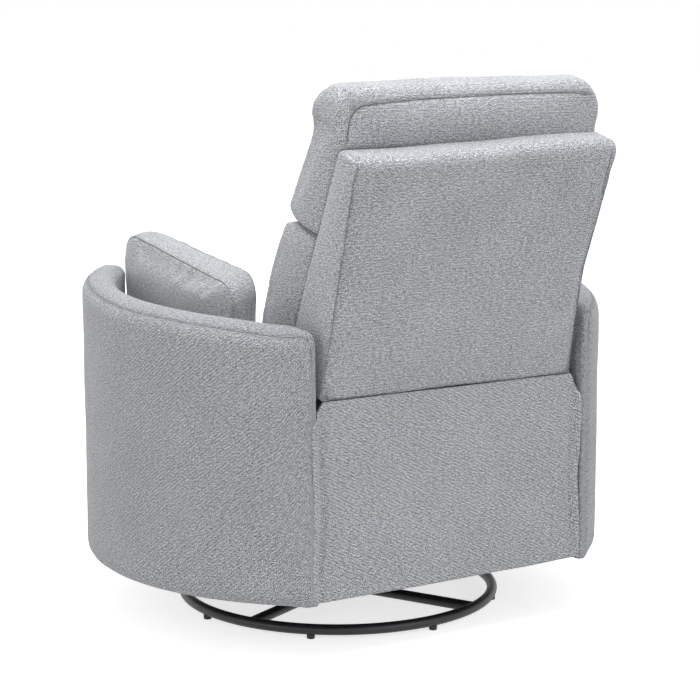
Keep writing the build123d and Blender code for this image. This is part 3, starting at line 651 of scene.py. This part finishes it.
finishes = (
    (powder, "base_ring base_cross hub_plate swivel_plate cross_channels left_upright right_upright"),
    (nylon, "glides front_link_bushes rear_link_bushes spring_clips release_lever"),
    (bright, "lower_race upper_race bearing_balls"),
    (zinc, "swivel_nut upper_pivot_pins lower_pivot_pins box_bolts recline_pins"),
    (zinc, "footrest_drive_pins footrest_elbow_pins footrest_board_pins"),
    (mechanism, "front_swing_links rear_swing_links left_mechanism_plate right_mechanism_plate"),
    (mechanism, "left_back_bracket right_back_bracket footrest_drive_links footrest_extension_links"),
    (mechanism, "footrest_cross_tube footrest_brackets seat_springs"),
    # boards that show are wrapped in the cloth
    (board_cloth, "left_side_rail right_side_rail front_rail front_ledge skirt_rail"),
    (board_cloth, "left_arm_webs right_arm_webs footrest_board"),
    (pine, "rear_rail back_frame"),
    (ply, "left_arm_panel right_arm_panel"),
    (strap_cloth, "back_straps"),
)
for finish, names in finishes:
    for node in names.split():
        mesh = frame["nodes"][node].data
        mesh.materials.clear()
        mesh.materials.append(finish)


# ======== arms
def on_arm(inset, angle):
    """A plan point of the arm's ellipse, drawn in by inset, at a parametric angle in degrees."""
    turn = math.radians(angle)
    x = (arm_half_width - inset) * math.cos(turn)
    return Vector((x, arm_centre_y + (arm_half_depth - inset) * math.sin(turn)))


def arm_plan(angle):
    """Outer and inner plan points of the arm wall at a parametric angle."""
    outer = on_arm(0.0, angle)
    if angle <= arm_turn_angle:
        return outer, on_arm(arm_wall, angle)
    curve, whole = 47.8, 113.5  # lengths along the inner face, to its corner and to its rear end
    corner_angle, corner_y = 48.55, 324.8
    walked = (angle - arm_turn_angle) / (arm_tip_angle - arm_turn_angle) * whole
    if walked < curve:
        return outer, on_arm(arm_wall, mix(arm_turn_angle, corner_angle, walked / curve))
    return outer, Vector((arm_inner_x, mix(corner_y, arm_rear_y, (walked - curve) / (whole - curve))))


arm_shoulder_steps = (0, 13, 26, 36, 41.5, 44, 46.5, 54, 66, 78, 90)
arm_side_steps = 52
seam_step = 5  # the place of the shoulder seam in the list above
level_point = 30  # a point half way up the outer face, where the grain's length is walked
nose_sections, tip_sections = 7, 3  # at the rounded ends, where the seam has no stitches


def arm_section(angle, draw, end_top, end_foot):
    """One closed section of the arm, and the number of its point on the shoulder seam."""
    outer, inner = arm_plan(angle)
    width = (inner - outer).length
    across = (inner - outer) / width
    narrow = ease(width, 14.0, 60.0)
    tight = ease(-outer.y, 60.0, 260.0)
    room = width - 2 * draw
    top_out, top_in = min(mix(19.0, mix(40.0, 30.0, tight), narrow), 0.62 * room), min(20.0, 0.32 * room)
    drop_out, drop_in = mix(19.0, mix(37.0, 27.0, tight), narrow), 18.0
    foot_out, foot_in = min(20.0, 0.4 * room), min(8.0, 0.2 * room)
    rise_out, rise_in = 22.0, 8.0
    ridge = mix(draw, width - draw, 0.66)
    middle = width / 2
    outline = []

    def put(n, z_share, high, low):
        place = outer + across * n
        roof = arm_top(place.y) - end_top - high
        floor = arm_bottom + end_foot + low
        outline.append((place.x, place.y, mix(floor, roof, z_share)))

    for share in (0.0, 0.5):
        put(mix(middle, draw + foot_out, share), 0, 0, 0)
    for over, up in rounding_steps((90, 68, 45, 22)):
        put(draw + foot_out * over, 0, 0, rise_out * up)
    for step in range(arm_side_steps):
        put(draw, max(step / arm_side_steps, 1e-6), drop_out, rise_out)
    for over, up in rounding_steps(arm_shoulder_steps):
        put(draw + top_out * over, 1, drop_out * up, 0)
    put(mix(draw + top_out, ridge, 0.5), 1, 0, 0)
    half = len(outline)
    put(ridge, 1, 0, 0)
    put(mix(ridge, width - draw - top_in, 0.5), 1, 0, 0)
    for over, up in rounding_steps(range(90, -1, -9)):
        put(width - draw - top_in * over, 1, drop_in * up, 0)
    for step in range(arm_side_steps):
        put(width - draw, 1 - (step + 1) / (arm_side_steps + 1), drop_in, rise_in)
    for over, up in rounding_steps((0, 30, 60, 90)):
        put(width - draw - foot_in * over, 0, 0, rise_in * up)
    put(mix(width - draw - foot_in, middle, 0.5), 0, 0, 0)
    return outline[:2 * half], 6 + arm_side_steps + seam_step


def arm_stations():
    """Angles of the sections from front to rear, with how far each is drawn in at the rounded ends."""
    nose, tip, pace = 24.0, 5.0, math.degrees(1 / 484.0)
    placed = []
    for over, along in rounding_steps((90, 76, 62, 48, 34, 20, 8, 0)):
        draw = nose * over
        placed.append((arm_front_angle + nose * along * pace, draw, 0.9 * draw, 0.6 * draw))
    steps, shoulder = 96, 17.0
    start, end = arm_front_angle + nose * pace, arm_tip_angle - tip * pace

    def rear_drop(angle):
        into = shoulder - (arm_tip_angle - angle) / pace
        return shoulder - math.sqrt(shoulder**2 - max(min(into, 0.97 * shoulder), 0.0) ** 2)

    for step in range(1, steps + 1):
        angle = mix(start, end, step / steps)
        placed.append((angle, 0.0, rear_drop(angle), 0.3 * rear_drop(angle)))
    for over, along in rounding_steps((20, 45, 70, 90)):
        draw = tip * over
        angle = arm_tip_angle - tip * along * pace
        placed.append((angle, draw, rear_drop(angle) + draw, 0.3 * rear_drop(angle) + draw))
    return placed


def arm_upholstery(name, side):
    """The padded cover of one arm: a curved wall with a sewn shoulder and soft rounded ends."""
    points, seam, grain = [], [], []
    stations = arm_stations()
    walked, before = 0.0, None
    for angle, draw, end_top, end_foot in stations:
        outline, seam_at = arm_section(angle, draw, end_top, end_foot)
        spot = Vector(outline[level_point])
        walked += (spot - before).length if before else 0.0
        before = spot
        round_it = 0.0
        last = None
        for point in outline:
            here = Vector(point)
            round_it += (here - last).length if last else 0.0
            last = here
            grain.append((walked * MM, round_it * MM))
        seam.append(outline[seam_at])
        points += outline
    count = len(outline)
    faces = bridge_all(len(stations), count)
    half = count // 2
    for ring in (0, (len(stations) - 1) * count):
        ladder = [(ring + step, ring + (count - step) % count) for step in range(1, half)]
        faces.append((ring, ladder[0][0], ladder[0][1]))
        for (a, b), (c, d) in zip(ladder, ladder[1:]):
            faces.append((a, c, d, b))
        faces.append((ladder[-1][0], ring + half, ladder[-1][1]))
    points = [(side * x, y, z) for x, y, z in points]
    sewn = [Vector((side * x, y, z)) for x, y, z in seam[nose_sections:-tip_sections]]
    made = make_piece(name, points, faces, shaded_arm_cloth)
    turn_outward(made)
    soften(made, 130.0, 1.5, 3.0 + side, (118.0, 190.0))
    soften(made, 26.0, 0.5, 8.0 + side, (540.0, 590.0))
    press_line(made, sewn, 1.7, 2.6)
    lay_grain(made, rule=grain)
    return made, sewn


arm_seams = {}
for side, word in ((1, "left"), (-1, "right")):
    arm, arm_seams[word] = arm_upholstery(f"{word}_arm_upholstery", side)
    dress(arm, f"{word}_arm_cover", "seat")


# ======== back
def casing_outline(inset):
    """Side outline of the back casing in (y, z), drawn in by inset."""
    low, high = inset, back_height - inset
    corners = [
        (low, inset), (high, inset), (high, 61.0 - 0.6 * inset), (low, casing_depth(low) - 3 - inset),
    ]
    radii = (max(3.0 - inset / 4, 1.0), 23.0, 12.0, 7.0)
    outline = rounded_outline(corners, radii, (46, 5, 40, 9), 7)
    return [back_point(height, depth) for height, depth in outline]


def side_stations(half_width, rounding, outline_at, steps, close=0):
    """Stations across a piece whose sides are rounded over, with close ones 3 mm apart next to them."""
    stations = []
    for over, along in rounding_steps((90, 70, 50, 30, 14)):
        stations.append((-half_width + rounding * along, outline_at(rounding * over)))
    edges = len(stations) + close
    for step in range(close):
        stations.append((-half_width + rounding + 3.0 * step, outline_at(0.0)))
    inner = half_width - rounding - 3.0 * close
    for step in range(steps + 1):
        stations.append((mix(-inner, inner, step / steps), outline_at(0.0)))
    return stations + [(-x, outline) for x, outline in reversed(stations[:edges])]


casing = shell_across(
    "back_upholstery", side_stations(back_half_width, 5.0, casing_outline, 58, close=13), back_cloth, (0, 0)
)
casing_seam_x = back_half_width - 4.0


def fill_casing(made):
    """Swell the rear panel and the side strips between their seams, and stand the top roll up."""
    mesh = made.data
    for vertex, normal in with_normals(mesh):
        place = vertex.co / MM
        height, depth = along_back(place)
        out = abs(place.x)
        edge = back_half_width - out
        top = ease(height, back_height - 45.0, back_height)
        facing_rear = ease(normal.dot(back_rear), 0.2, 0.7)
        lift = 3.4 * ease(edge, 12.0, 80.0) * ease(height, 5.0, 80.0)
        sink = 6.0 * math.exp(-((out - casing_seam_x + 2.0) ** 2) / 150.0) * (1 - top)
        move = back_rear * (lift - sink) * facing_rear
        across = math.sin(math.pi * min(max(depth / casing_depth(height), 0.0), 1.0))
        side = math.copysign(1.0, place.x)
        swell = mix(3.5, 6.0, ease(height, 130.0, 260.0)) * across
        bulge = swell * ease(out, 250.0, back_half_width)
        if side < 0:
            bulge += 8.0 * ease(out, 230.0, back_half_width) * top
            waist = min(max((372.0 - height) / 150.0, 0.0), 1.0) * ease(height, -20.0, 200.0)
            bulge -= 13.0 * ease(out, 200.0, back_half_width) * waist
        move += Vector((side * bulge, 0, 0))
        lean = mix(3.0, 18.0, ease(-place.x, -250.0, 262.0))
        move += back_up * lean * ease(edge, -14.0, 16.0) * top
        vertex.co += move * MM
    mesh.update()


fill_casing(casing)
soften(casing, 170.0, 1.6, 5.0)
rear_seams = []
for side in (1, -1):
    seam_x = side * casing_seam_x
    line = [(seam_x, *back_point(height, 3.0)) for height in range(4, 398, 4)]
    dart = [(seam_x, *back_point(400.0, 2.0))]
    for height, depth in ((412.0, 4.0), (424.0, 14.0), (427.0, 36.0)):
        dart.append((side * (back_half_width - 5.0), *back_point(height, depth)))
    along = [Vector(point) for point in line] + smooth_path(dart, 3.0)
    seam = on_piece(casing, along)
    press_line(casing, seam, 2.0, 2.6)
    rear_seams.append(seam)
lay_grain(casing)
dress(casing, "outside_back", "back")


# ======== cushions on the back
def back_cushion(name, half_width, corners, radii, runs, top_corner):
    """A boxed cushion on the back, from its side outline in heights and depths at its side edges."""

    def outline_at(inset):
        return [back_point(*point) for point in outline_in(corners, radii, inset, runs, 6)]

    stations = side_stations(half_width, 9.0, outline_at, 44, close=6)
    made = shell_across(name, stations, back_cloth, (1.0, 1.0))
    high = max(height for height, depth in corners)
    for vertex in made.data.vertices:
        place = vertex.co / MM
        height, depth = along_back(place)
        across = abs(place.x) / half_width
        crown = 13.0 * (1 - across**2) * ease(depth, 80.0, 125.0)
        over = ease(height, high - 110.0, high - 20.0)
        corner = top_corner * (0.72 if place.x > 0 else 1.1)
        share = max(1 - (half_width - abs(place.x)) / max(corner, 1.0), 0.0)
        drop = corner * (1 - math.sqrt(max(1 - share**2, 0.03))) * over
        lean = -4.0 * place.x / half_width * over if top_corner else 0.0
        inner_depth = casing_depth(height) if height < back_height else 60.0
        into = min(max((depth - inner_depth) / 95.0, 0.0), 1.0)
        bulge = 5.0 * math.sin(math.pi * into) * ease(across, 0.85, 1.0)
        narrow = 14.0 * ease(height, high - 80.0, high - 10.0) * across if top_corner else 0.0
        move = -back_rear * crown + back_up * (lean - drop)
        move += Vector((math.copysign(bulge - narrow, place.x), 0, 0))
        vertex.co += move * MM
    made.data.update()

    def held(place):
        height, depth = along_back(place)
        return 1.0 if depth - casing_depth(height) < 7 and height < back_height + 4 else 0.0

    def cap_at(place):
        height, depth = along_back(place)
        middle = ease(half_width - abs(place.x), 10.0, 120.0)
        return mix(3.0, 7.0, middle * (1 - 0.6 * ease(height, back_height, back_height + 60)))

    puff(made, 8.0, cap_at, held, 3.0)
    return made


def head_rear_depth(height):
    """Depth of the head cushion's rear panel, which leans out over the casing's top roll."""
    return 53.0 + 0.2 * (height - 434.0)


head_corners = [
    (266, casing_depth(266) + 1), (424, casing_depth(424) + 2), (434, head_rear_depth(434)),
    (515, head_rear_depth(515)), (530, 84), (530, 118), (508, 151), (470, 164), (425, 160),
    (350, 184), (278, 203), (264, 178),
]
head = back_cushion(
    "head_cushion_cover", 266.0, head_corners, (6, 3, 4, 10, 14, 24, 40, 60, 60, 80, 9, 10),
    (18, 2, 10, 2, 3, 3, 4, 5, 9, 9, 2, 10), 45.0,
)
lumbar_corners = [
    (4, casing_depth(4) + 1), (259, casing_depth(259) + 1), (262, 170), (250, 211),
    (213, 223), (143, 237), (60, 245), (-58, 239), (-50, 186),
]
lumbar = back_cushion(
    "lumbar_cushion_cover", 263.0, lumbar_corners, (6, 5, 9, 17, 60, 60, 60, 18, 14),
    (26, 9, 4, 4, 7, 9, 10, 4, 7), 0.0,
)
for cushion, node, seed in ((head, "head_cushion", 1.0), (lumbar, "lumbar_cushion", 2.0)):
    soften(cushion, 90.0, 1.2, seed)
    dress(cushion, node, "back")

head_seam_turns = [
    (-252, 509), (-208, 514), (-130, 516), (-27, 515), (60, 512), (119, 510), (185, 505), (222, 501),
    (240, 494), (250, 481), (254, 466), (257, 436),
]
head_seam_corners = [(x, *back_point(height, head_rear_depth(height))) for x, height in head_seam_turns]
head_rear_seam = on_piece(head, smooth_path(head_seam_corners, 3.0))
press_line(head, head_rear_seam, 2.6, 3.0)
for side in (1, -1):
    pinch = [(side * x, *back_point(*spot)) for x, *spot in ((243, 494, 66), (250, 506, 78), (253, 513, 98))]
    press_line(head, on_piece(head, smooth_path(pinch, 3.0)), 2.0, 3.4)
lay_grain(head)
lay_grain(lumbar)


# ======== seat cushion
def seat_stations():
    """The seat's sections in (y, z), crowned towards the middle and rounded at the sides."""

    def outline_at(inset):
        corners = [(-474, 404.5), (168, 404.5), (166, 446), (60, 450), (-200, 451), (-400, 452), (-470, 447)]
        return outline_in(corners, (7, 7, 12, 60, 80, 60, 18), inset, (44, 3, 8, 16, 14, 5, 3), 5)

    placed = []
    for x, outline in side_stations(278.0, 14.0, outline_at, 60):
        across = 1 - (x / 278.0) ** 2
        shaped = []
        for y, z in outline:
            along = ease(y, -482.0, -330.0) * ease(-y, -176.0, -90.0)
            crown = 25.0 * across * along * ease(z, 425.0, 446.0)
            shaped.append((y - 5.0 * across * ease(-y, 440.0, 470.0), z + crown))
        placed.append((x, shaped))
    return placed


seat = shell_across("seat_cushion_cover", seat_stations(), back_cloth, (1.0, 1.0))
puff(
    seat, 9.0, lambda place: mix(3.0, 6.0, ease(277 - abs(place.x), 10.0, 120.0)),
    lambda place: 1.0 if place.z < 412 else 0.0, 3.0,
)
soften(seat, 110.0, 1.0, 4.0, (410.0, 430.0))
lay_grain(seat)
dress(seat, "seat_cushion", "seat")


# ======== pillow
pillow_inner_x, pillow_outer_x = 251.0, 313.0


def pillow_outline(share, inset):
    """Side outline of the arm pillow in (y, z): share runs from its inner seam to its outer one."""
    front, rear = mix(-276.0, -286.0, share), mix(130.0, 150.0, share)
    front_top, rear_top = 706.0, mix(660.0, 644.0, share)
    corners = [(front + 16, 455), (rear, 455), (rear + 2, rear_top), (front, front_top)]
    return outline_in(corners, (22, 22, 46, 44), inset, (40, 14, 40, 18), 9)


pillow_stations = []
for share in (0.0, 0.04, 0.1, 0.2, 0.35, 0.5, 0.65, 0.8, 0.9, 0.96, 1.0):
    x = mix(pillow_inner_x, pillow_outer_x, share)
    pillow_stations.append((x, pillow_outline(share, -7.0 * math.sin(math.pi * share))))
pillow = shell_across("arm_pillow_cover", pillow_stations, lit_pillow_cloth, (16.0, 9.0))


def pillow_cap(place):
    """The faces swell, and the edges stay near their seams."""
    rear_end = ease(150.0 - place.y, 0.0, 90.0)
    top_end = ease(690.0 - place.z, 0.0, 70.0)
    return mix(3.5, 13.0, rear_end * top_end)


puff(pillow, 6.0, pillow_cap, lambda place: 1.0 if place.z < 456 else 0.0, 2.5)
soften(pillow, 70.0, 1.4, 6.0, (455.0, 500.0))
pillow_welts = []
for share, x in ((0.0, pillow_inner_x), (1.0, pillow_outer_x)):
    edge = [(x, y, z) for y, z in pillow_outline(share, 0.0)]
    welt = on_piece(pillow, smooth_path(edge, 4.0, closed=True))
    pillow_welts.append([welt[n] * 0.5 + welt[n - 1] * 0.25 + welt[n - 2] * 0.25 for n in range(len(welt))])
for welt in pillow_welts:
    press_line(pillow, welt, 1.2, 3.6)
lay_grain(pillow)
dress(pillow, "pillow", "pillow")


# ======== footrest
def footrest_outline(inset):
    corners = [(-462.6, 133), (-462.6, 385), (-474, 385), (-478, 260), (-474, 134)]
    return outline_in(corners, (4, 4, 7, 200, 7), inset, (40, 2, 16, 16, 2), 5)


footrest_stations = side_stations(293.0, 5.0, footrest_outline, 44)
footrest = shell_across("footrest_upholstery", footrest_stations, back_cloth, (0.5, 0.5))
puff(footrest, 7.0, lambda place: 8.0, lambda place: 1.0 if place.y > -465 else 0.0, 2.0)
lay_grain(footrest)
dress(footrest, "footrest_pad", "footrest")


# ======== deck pads and wrapped side panels
deck_steps = 36


def deck_outline(side, inset):
    """Plan outline of the deck between the seat and the arm's curved wall."""
    curve = []
    for step in range(deck_steps + 1):
        angle = mix(-40.0 + inset / 6, 47.0 - inset / 7, step / deck_steps)
        curve.append(on_arm(arm_wall + 1.5 + inset, angle))
    straight = []
    for step in range(deck_steps + 1):
        straight.append(Vector((286.0 + inset, mix(curve[-1].y, curve[0].y, step / deck_steps))))
    return [(side * place.x, place.y) for place in curve + straight]


def deck_pad(name, side):
    levels = ((438, 5), (442, 2), (446, 1), (449.5, 3), (452, 7), (453.5, 14))
    points = [(x, y, z) for z, inset in levels for x, y in deck_outline(side, inset)]
    count = 2 * (deck_steps + 1)
    faces = bridge_all(len(levels), count)
    for ring in (0, (len(levels) - 1) * count):
        for step in range(deck_steps):
            far = ring + count - 1 - step
            faces.append((ring + step, ring + step + 1, far - 1, far))
    made = make_piece(name, points, faces, back_cloth)
    turn_outward(made)
    refine(made, 2)
    soften(made, 80.0, 0.8, 9.0 + side)
    lay_grain(made)
    return made


def panel_wrap(name, side):
    """A board wrapped in cloth: the side of the box below the deck."""

    def outline_at(inset):
        corners = [(-440, 125), (308, 125), (308, 425), (-440, 425)]
        return outline_in(corners, (10, 4, 4, 10), inset, (60, 26, 60, 26), 5)

    inner_x, outer_x, edge = 285.4, 315.0, 3
    stations = []
    for over, along in rounding_steps((90, 45, 0)):
        stations.append((inner_x + edge * along, outline_at(edge * over)))
    stations += [(inner_x + outer_x - x, outline) for x, outline in reversed(stations)]
    made = shell_across(name, [(side * x, outline) for x, outline in stations], back_cloth)
    soften(made, 120.0, 0.4, 12.0 + side)
    lay_grain(made)
    return made


for side, word in ((1, "left"), (-1, "right")):
    dress(deck_pad(f"{word}_deck_cover", side), f"{word}_deck_pad", "seat")
    dress(panel_wrap(f"{word}_panel_cover", side), f"{word}_side_panel", "seat")


# ======== rear flap
def flap_half_width(drop):
    """Half the flap's width, a share of the way down it: its top corners are cut off at a slant."""
    top_width, full_width, slant = 266.5, 296.0, 0.112
    waist = 4.0 * math.sin(math.pi * ease(drop, slant, 1.0)) ** 2
    return mix(top_width, full_width, min(drop / slant, 1.0)) - waist


def rear_flap():
    """The cloth that hangs from the foot of the back and closes the rear of the seat."""
    columns, rows = 150, 96
    top, foot, flap_thickness = 466.5, 115.5, 2.6
    points, faces, grain = [], [], []
    for row in range(rows + 1):
        drop = row / rows
        for column in range(columns + 1):
            share = 2 * column / columns - 1
            share = math.copysign(abs(share) ** 0.88, share)
            z = mix(top, foot, drop)
            half = flap_half_width(drop)
            half -= 11.0 * (share < 0) * ease(drop, 0.0, 0.11)
            x = share * half
            edge = half - abs(x)
            y = 380.2 + 1.8 * math.sin(math.pi * min(drop * 1.15, 1.0))
            y += 1.5 * math.sin(share * 5.1 + 0.6) * ease(drop, 0.1, 0.8)
            y += 1.3 * noise.noise(Vector((x / 90.0, z / 130.0, 2.0)))
            y += 1.6 * hill(edge, 30.0) * noise.noise(Vector((share * 2, z / 42.0, 7.0)))
            y += 12.0 * ease(abs(x), 274.0, 288.0)
            valley = mix(4.5, 2.0, ease(drop, 0.8, 0.9)) if x > 0 else mix(6.0, 3.0, ease(drop, 0.8, 0.9))
            y -= valley * hill(edge - mix(24.0, 15.0, x < 0), 5.0) * ease(drop, 0.05, 0.15)
            y -= 2.0 * hill(abs(x) - 262.0, 3.0) * (1 - ease(drop, 0.02, 0.09))
            y -= 2.6 * (1 - ease(edge, 0.0, 3.5))
            z += 3.0 * (x < 0) * ease(-x, 150.0, 290.0) * ease(drop, 0.9, 1.0)
            points.append((x, y, z))
            grain.append((x * MM, z * MM))
    width = columns + 1
    for row in range(rows):
        for column in range(columns):
            first = row * width + column
            faces.append((first, first + 1, first + width + 1, first + width))
    made = make_piece("rear_flap", points, faces, flap_cloth)
    if made.data.polygons[0].normal.y < 0:
        made.data.flip_normals()
    lay_grain(made, rule=grain)
    wall = made.modifiers.new("cloth_thickness", "SOLIDIFY")
    wall.thickness = flap_thickness * MM
    wall.offset = -1
    settle(made)
    return made


flap = rear_flap()
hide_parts("rear_skirt")
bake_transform(flap)


# ======== stitches
def stitch_tree():
    """Geometry Nodes: short stitches laid end to end along a line."""
    tree = bpy.data.node_groups.new("stitch_row", "GeometryNodeTree")
    face = tree.interface
    face.new_socket("Line", in_out="INPUT", socket_type="NodeSocketGeometry")
    for label, size in (("Pitch", 4.2 * MM), ("Length", 3.0 * MM), ("Thickness", 0.42 * MM)):
        face.new_socket(label, in_out="INPUT", socket_type="NodeSocketFloat").default_value = size
    face.new_socket("Thread", in_out="INPUT", socket_type="NodeSocketMaterial")
    face.new_socket("Stitches", in_out="OUTPUT", socket_type="NodeSocketGeometry")
    given, made, curve, places, stitch, copies, real, coloured = (
        tree.nodes.new(kind) for kind in (
            "NodeGroupInput", "NodeGroupOutput", "GeometryNodeMeshToCurve", "GeometryNodeCurveToPoints",
            "GeometryNodeMeshCylinder", "GeometryNodeInstanceOnPoints", "GeometryNodeRealizeInstances",
            "GeometryNodeSetMaterial",
        )
    )
    places.mode = "LENGTH"
    stitch.fill_type = "TRIANGLE_FAN"
    stitch.inputs["Vertices"].default_value = 6
    wires = (
        (given, "Line", curve, "Mesh"), (given, "Pitch", places, "Length"),
        (given, "Length", stitch, "Depth"), (given, "Thickness", stitch, "Radius"),
        (curve, "Curve", places, "Curve"), (given, "Thread", coloured, "Material"),
        (places, "Points", copies, "Points"), (places, "Rotation", copies, "Rotation"),
        (stitch, "Mesh", copies, "Instance"), (copies, "Instances", real, "Geometry"),
        (real, "Geometry", coloured, "Geometry"), (coloured, "Geometry", made, "Stitches"),
    )
    for source, leaves, target, enters in wires:
        tree.links.new(source.outputs[leaves], target.inputs[enters])
    return tree


stitch_row = stitch_tree()


def sew(name, lines, body):
    """Rows of stitches along lines of points in millimetres, as one plain mesh."""
    mesh = bpy.data.meshes.new(name)
    points, edges = [], []
    for line in lines:
        start = len(points)
        points += [Vector(point) * MM for point in line]
        edges += [(start + step, start + step + 1) for step in range(len(line) - 1)]
    mesh.from_pydata(points, edges, [])
    made = in_scene(name, mesh)
    sewn = made.modifiers.new("stitches", "NODES")
    sewn.node_group = stitch_row
    for socket in stitch_row.interface.items_tree:
        if socket.name == "Thread" and socket.in_out == "INPUT":
            sewn[socket.identifier] = thread
    bpy.context.view_layer.update()
    flatten(made)
    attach(made, body)


def beside(made, line, away, lift=0.1):
    """A line laid on a piece, moved sideways across the surface by away."""
    laid = laid_on(made, line)
    moved = []
    for number, (place, normal) in enumerate(laid):
        before = laid[max(number - 1, 0)][0]
        after = laid[min(number + 1, len(laid) - 1)][0]
        along = (after - before).normalized()
        moved.append(place + along.cross(normal).normalized() * away)
    return on_piece(made, moved, lift)


tube_sides = 6


def tube_along(name, lines, thickness, finish, body, closed=False):
    """Thin piping, or a dark line of painted shadow in a seam's crease, half sunk along lines of points in
    millimetres.
    """
    points, faces = [], []
    for line in lines:
        start, count = len(points), len(line)
        for number, place in enumerate(line):
            after = Vector(line[(number + 1) % count] if closed else line[min(number + 1, count - 1)])
            before = Vector(line[number - 1] if closed or number else line[0])
            along = (after - before).normalized()
            out = along.cross(Vector((0.31, 0.2, 0.93))).normalized()
            side = along.cross(out).normalized()
            thin = 1.0 if closed else min(number, count - 1 - number, 4) / 4 * 0.9 + 0.1
            for step in range(tube_sides):
                turn = math.radians(360 / tube_sides * step)
                ring = (out * math.cos(turn) + side * math.sin(turn)) * thickness * thin
                points.append(Vector(place) + ring)
        for number in range(count if closed else count - 1):
            here, after = start + number * tube_sides, start + (number + 1) % count * tube_sides
            faces += bridge(here, after, tube_sides)
        for ring in () if closed else (start, start + (count - 1) * tube_sides):
            faces.append(tuple(range(ring, ring + tube_sides)))
    made = make_piece(name, points, faces, finish)
    turn_outward(made)
    lay_grain(made)
    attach(made, body)


tube_along("pillow_welt", pillow_welts, 1.1, lit_pillow_cloth, "pillow", closed=True)
for word in ("left", "right"):
    arm = bpy.data.objects[f"{word}_arm_upholstery"]
    rows = [beside(arm, arm_seams[word], away) for away in (-4.0, 4.0)]
    sew(f"{word}_arm_stitches", rows, "seat")
    # a dark line of painted shadow in the arm seam's crease
    tube_along(f"{word}_arm_seam", [on_piece(arm, arm_seams[word], 0.1)], 0.45, seam_shadow, "seat")
rows = [beside(casing, seam[:98], away) for away, seam in zip((-4.0, 4.0), rear_seams)]
sew("back_stitches", rows, "back")
sew("head_stitches", [beside(head, head_rear_seam, 5.0)], "back")
# dark lines of painted shadow in the creases of the head's and the back's seams
tube_along("head_seam", [on_piece(head, head_rear_seam, 0.1)], 0.6, seam_shadow, "back")
tube_along("back_seams", [on_piece(casing, seam) for seam in rear_seams], 0.45, seam_shadow, "back")


# ======== stage, lamps and camera
def white_stage():
    """A pale floor that keeps the chair's shadow, and a white surround for what looks past it."""
    albedo, reach, dimmed = 0.72, 30000, 0.62
    pale = Finish("pale_floor")
    pale.set(
        Base_Color=(albedo, albedo, albedo, 1), Roughness=1.0, Specular_IOR_Level=0.0,
        Emission_Strength=pale.sums("MULTIPLY", pale.looking(), albedo), Emission_Color=(1, 1, 1, 1),
    )
    corners = [(-reach, -reach, 0), (reach, -reach, 0), (reach, reach, 0), (-reach, reach, 0)]
    make_piece("floor", corners, [(0, 1, 2, 3)], pale.material)
    world = bpy.data.worlds.new("surround")
    scene.world = world
    world.use_nodes = True
    around = Wiring(world.node_tree, "Background")
    strength = around.add("ShaderNodeMapRange", {"Value": around.looking(), "To Min": dimmed, "To Max": 1.0})
    around.set(Color=(1, 1, 1, 1), Strength=strength.outputs["Result"])


def softbox(name, place, target, size, power):
    """A square lamp that faces a point."""
    lamp = bpy.data.lights.new(name, "AREA")
    lamp.shape = "SQUARE"
    lamp.size = size
    lamp.energy = power
    made = in_scene(name, lamp)
    made.location = place
    made.rotation_euler = (Vector(target) - Vector(place)).to_track_quat("-Z", "Y").to_euler()


def photo_camera():
    """The photograph's view: from behind and to the sitter's left, a little above."""
    focal_length, distance = 102.73, 3.83267
    aim_right, aim_height = 0.02334, 0.48041
    lens = bpy.data.cameras.new("photo_camera")
    lens.lens = focal_length
    lens.sensor_width = 36.0
    lens.sensor_fit = "HORIZONTAL"
    lens.clip_end = 100.0
    made = in_scene("photo_camera", lens)
    turn, rise = math.radians(147.63), math.radians(9.30)
    back = Vector((math.sin(turn) * math.cos(rise), -math.cos(turn) * math.cos(rise), math.sin(rise)))
    right = (-back).cross(Vector((0, 0, 1))).normalized()
    up = right.cross(-back)
    place = Vector((0, 0, aim_height)) + right * aim_right + back * distance
    made.matrix_world = Matrix.Translation(place) @ Matrix((right, up, back)).transposed().to_4x4()
    scene.camera = made


white_stage()
softbox("overhead", (0.3, 0.5, 3.4), (0, 0, 0.4), 2.6, 116.0)
softbox("left_fill", (3.6, 0.6, 1.9), (0, 0, 0.5), 2.2, 26.0)
softbox("rear_fill", (-1.0, 4.0, 1.7), (0, 0, 0.5), 2.4, 26.0)
photo_camera()

scene.view_settings.view_transform = "Standard"
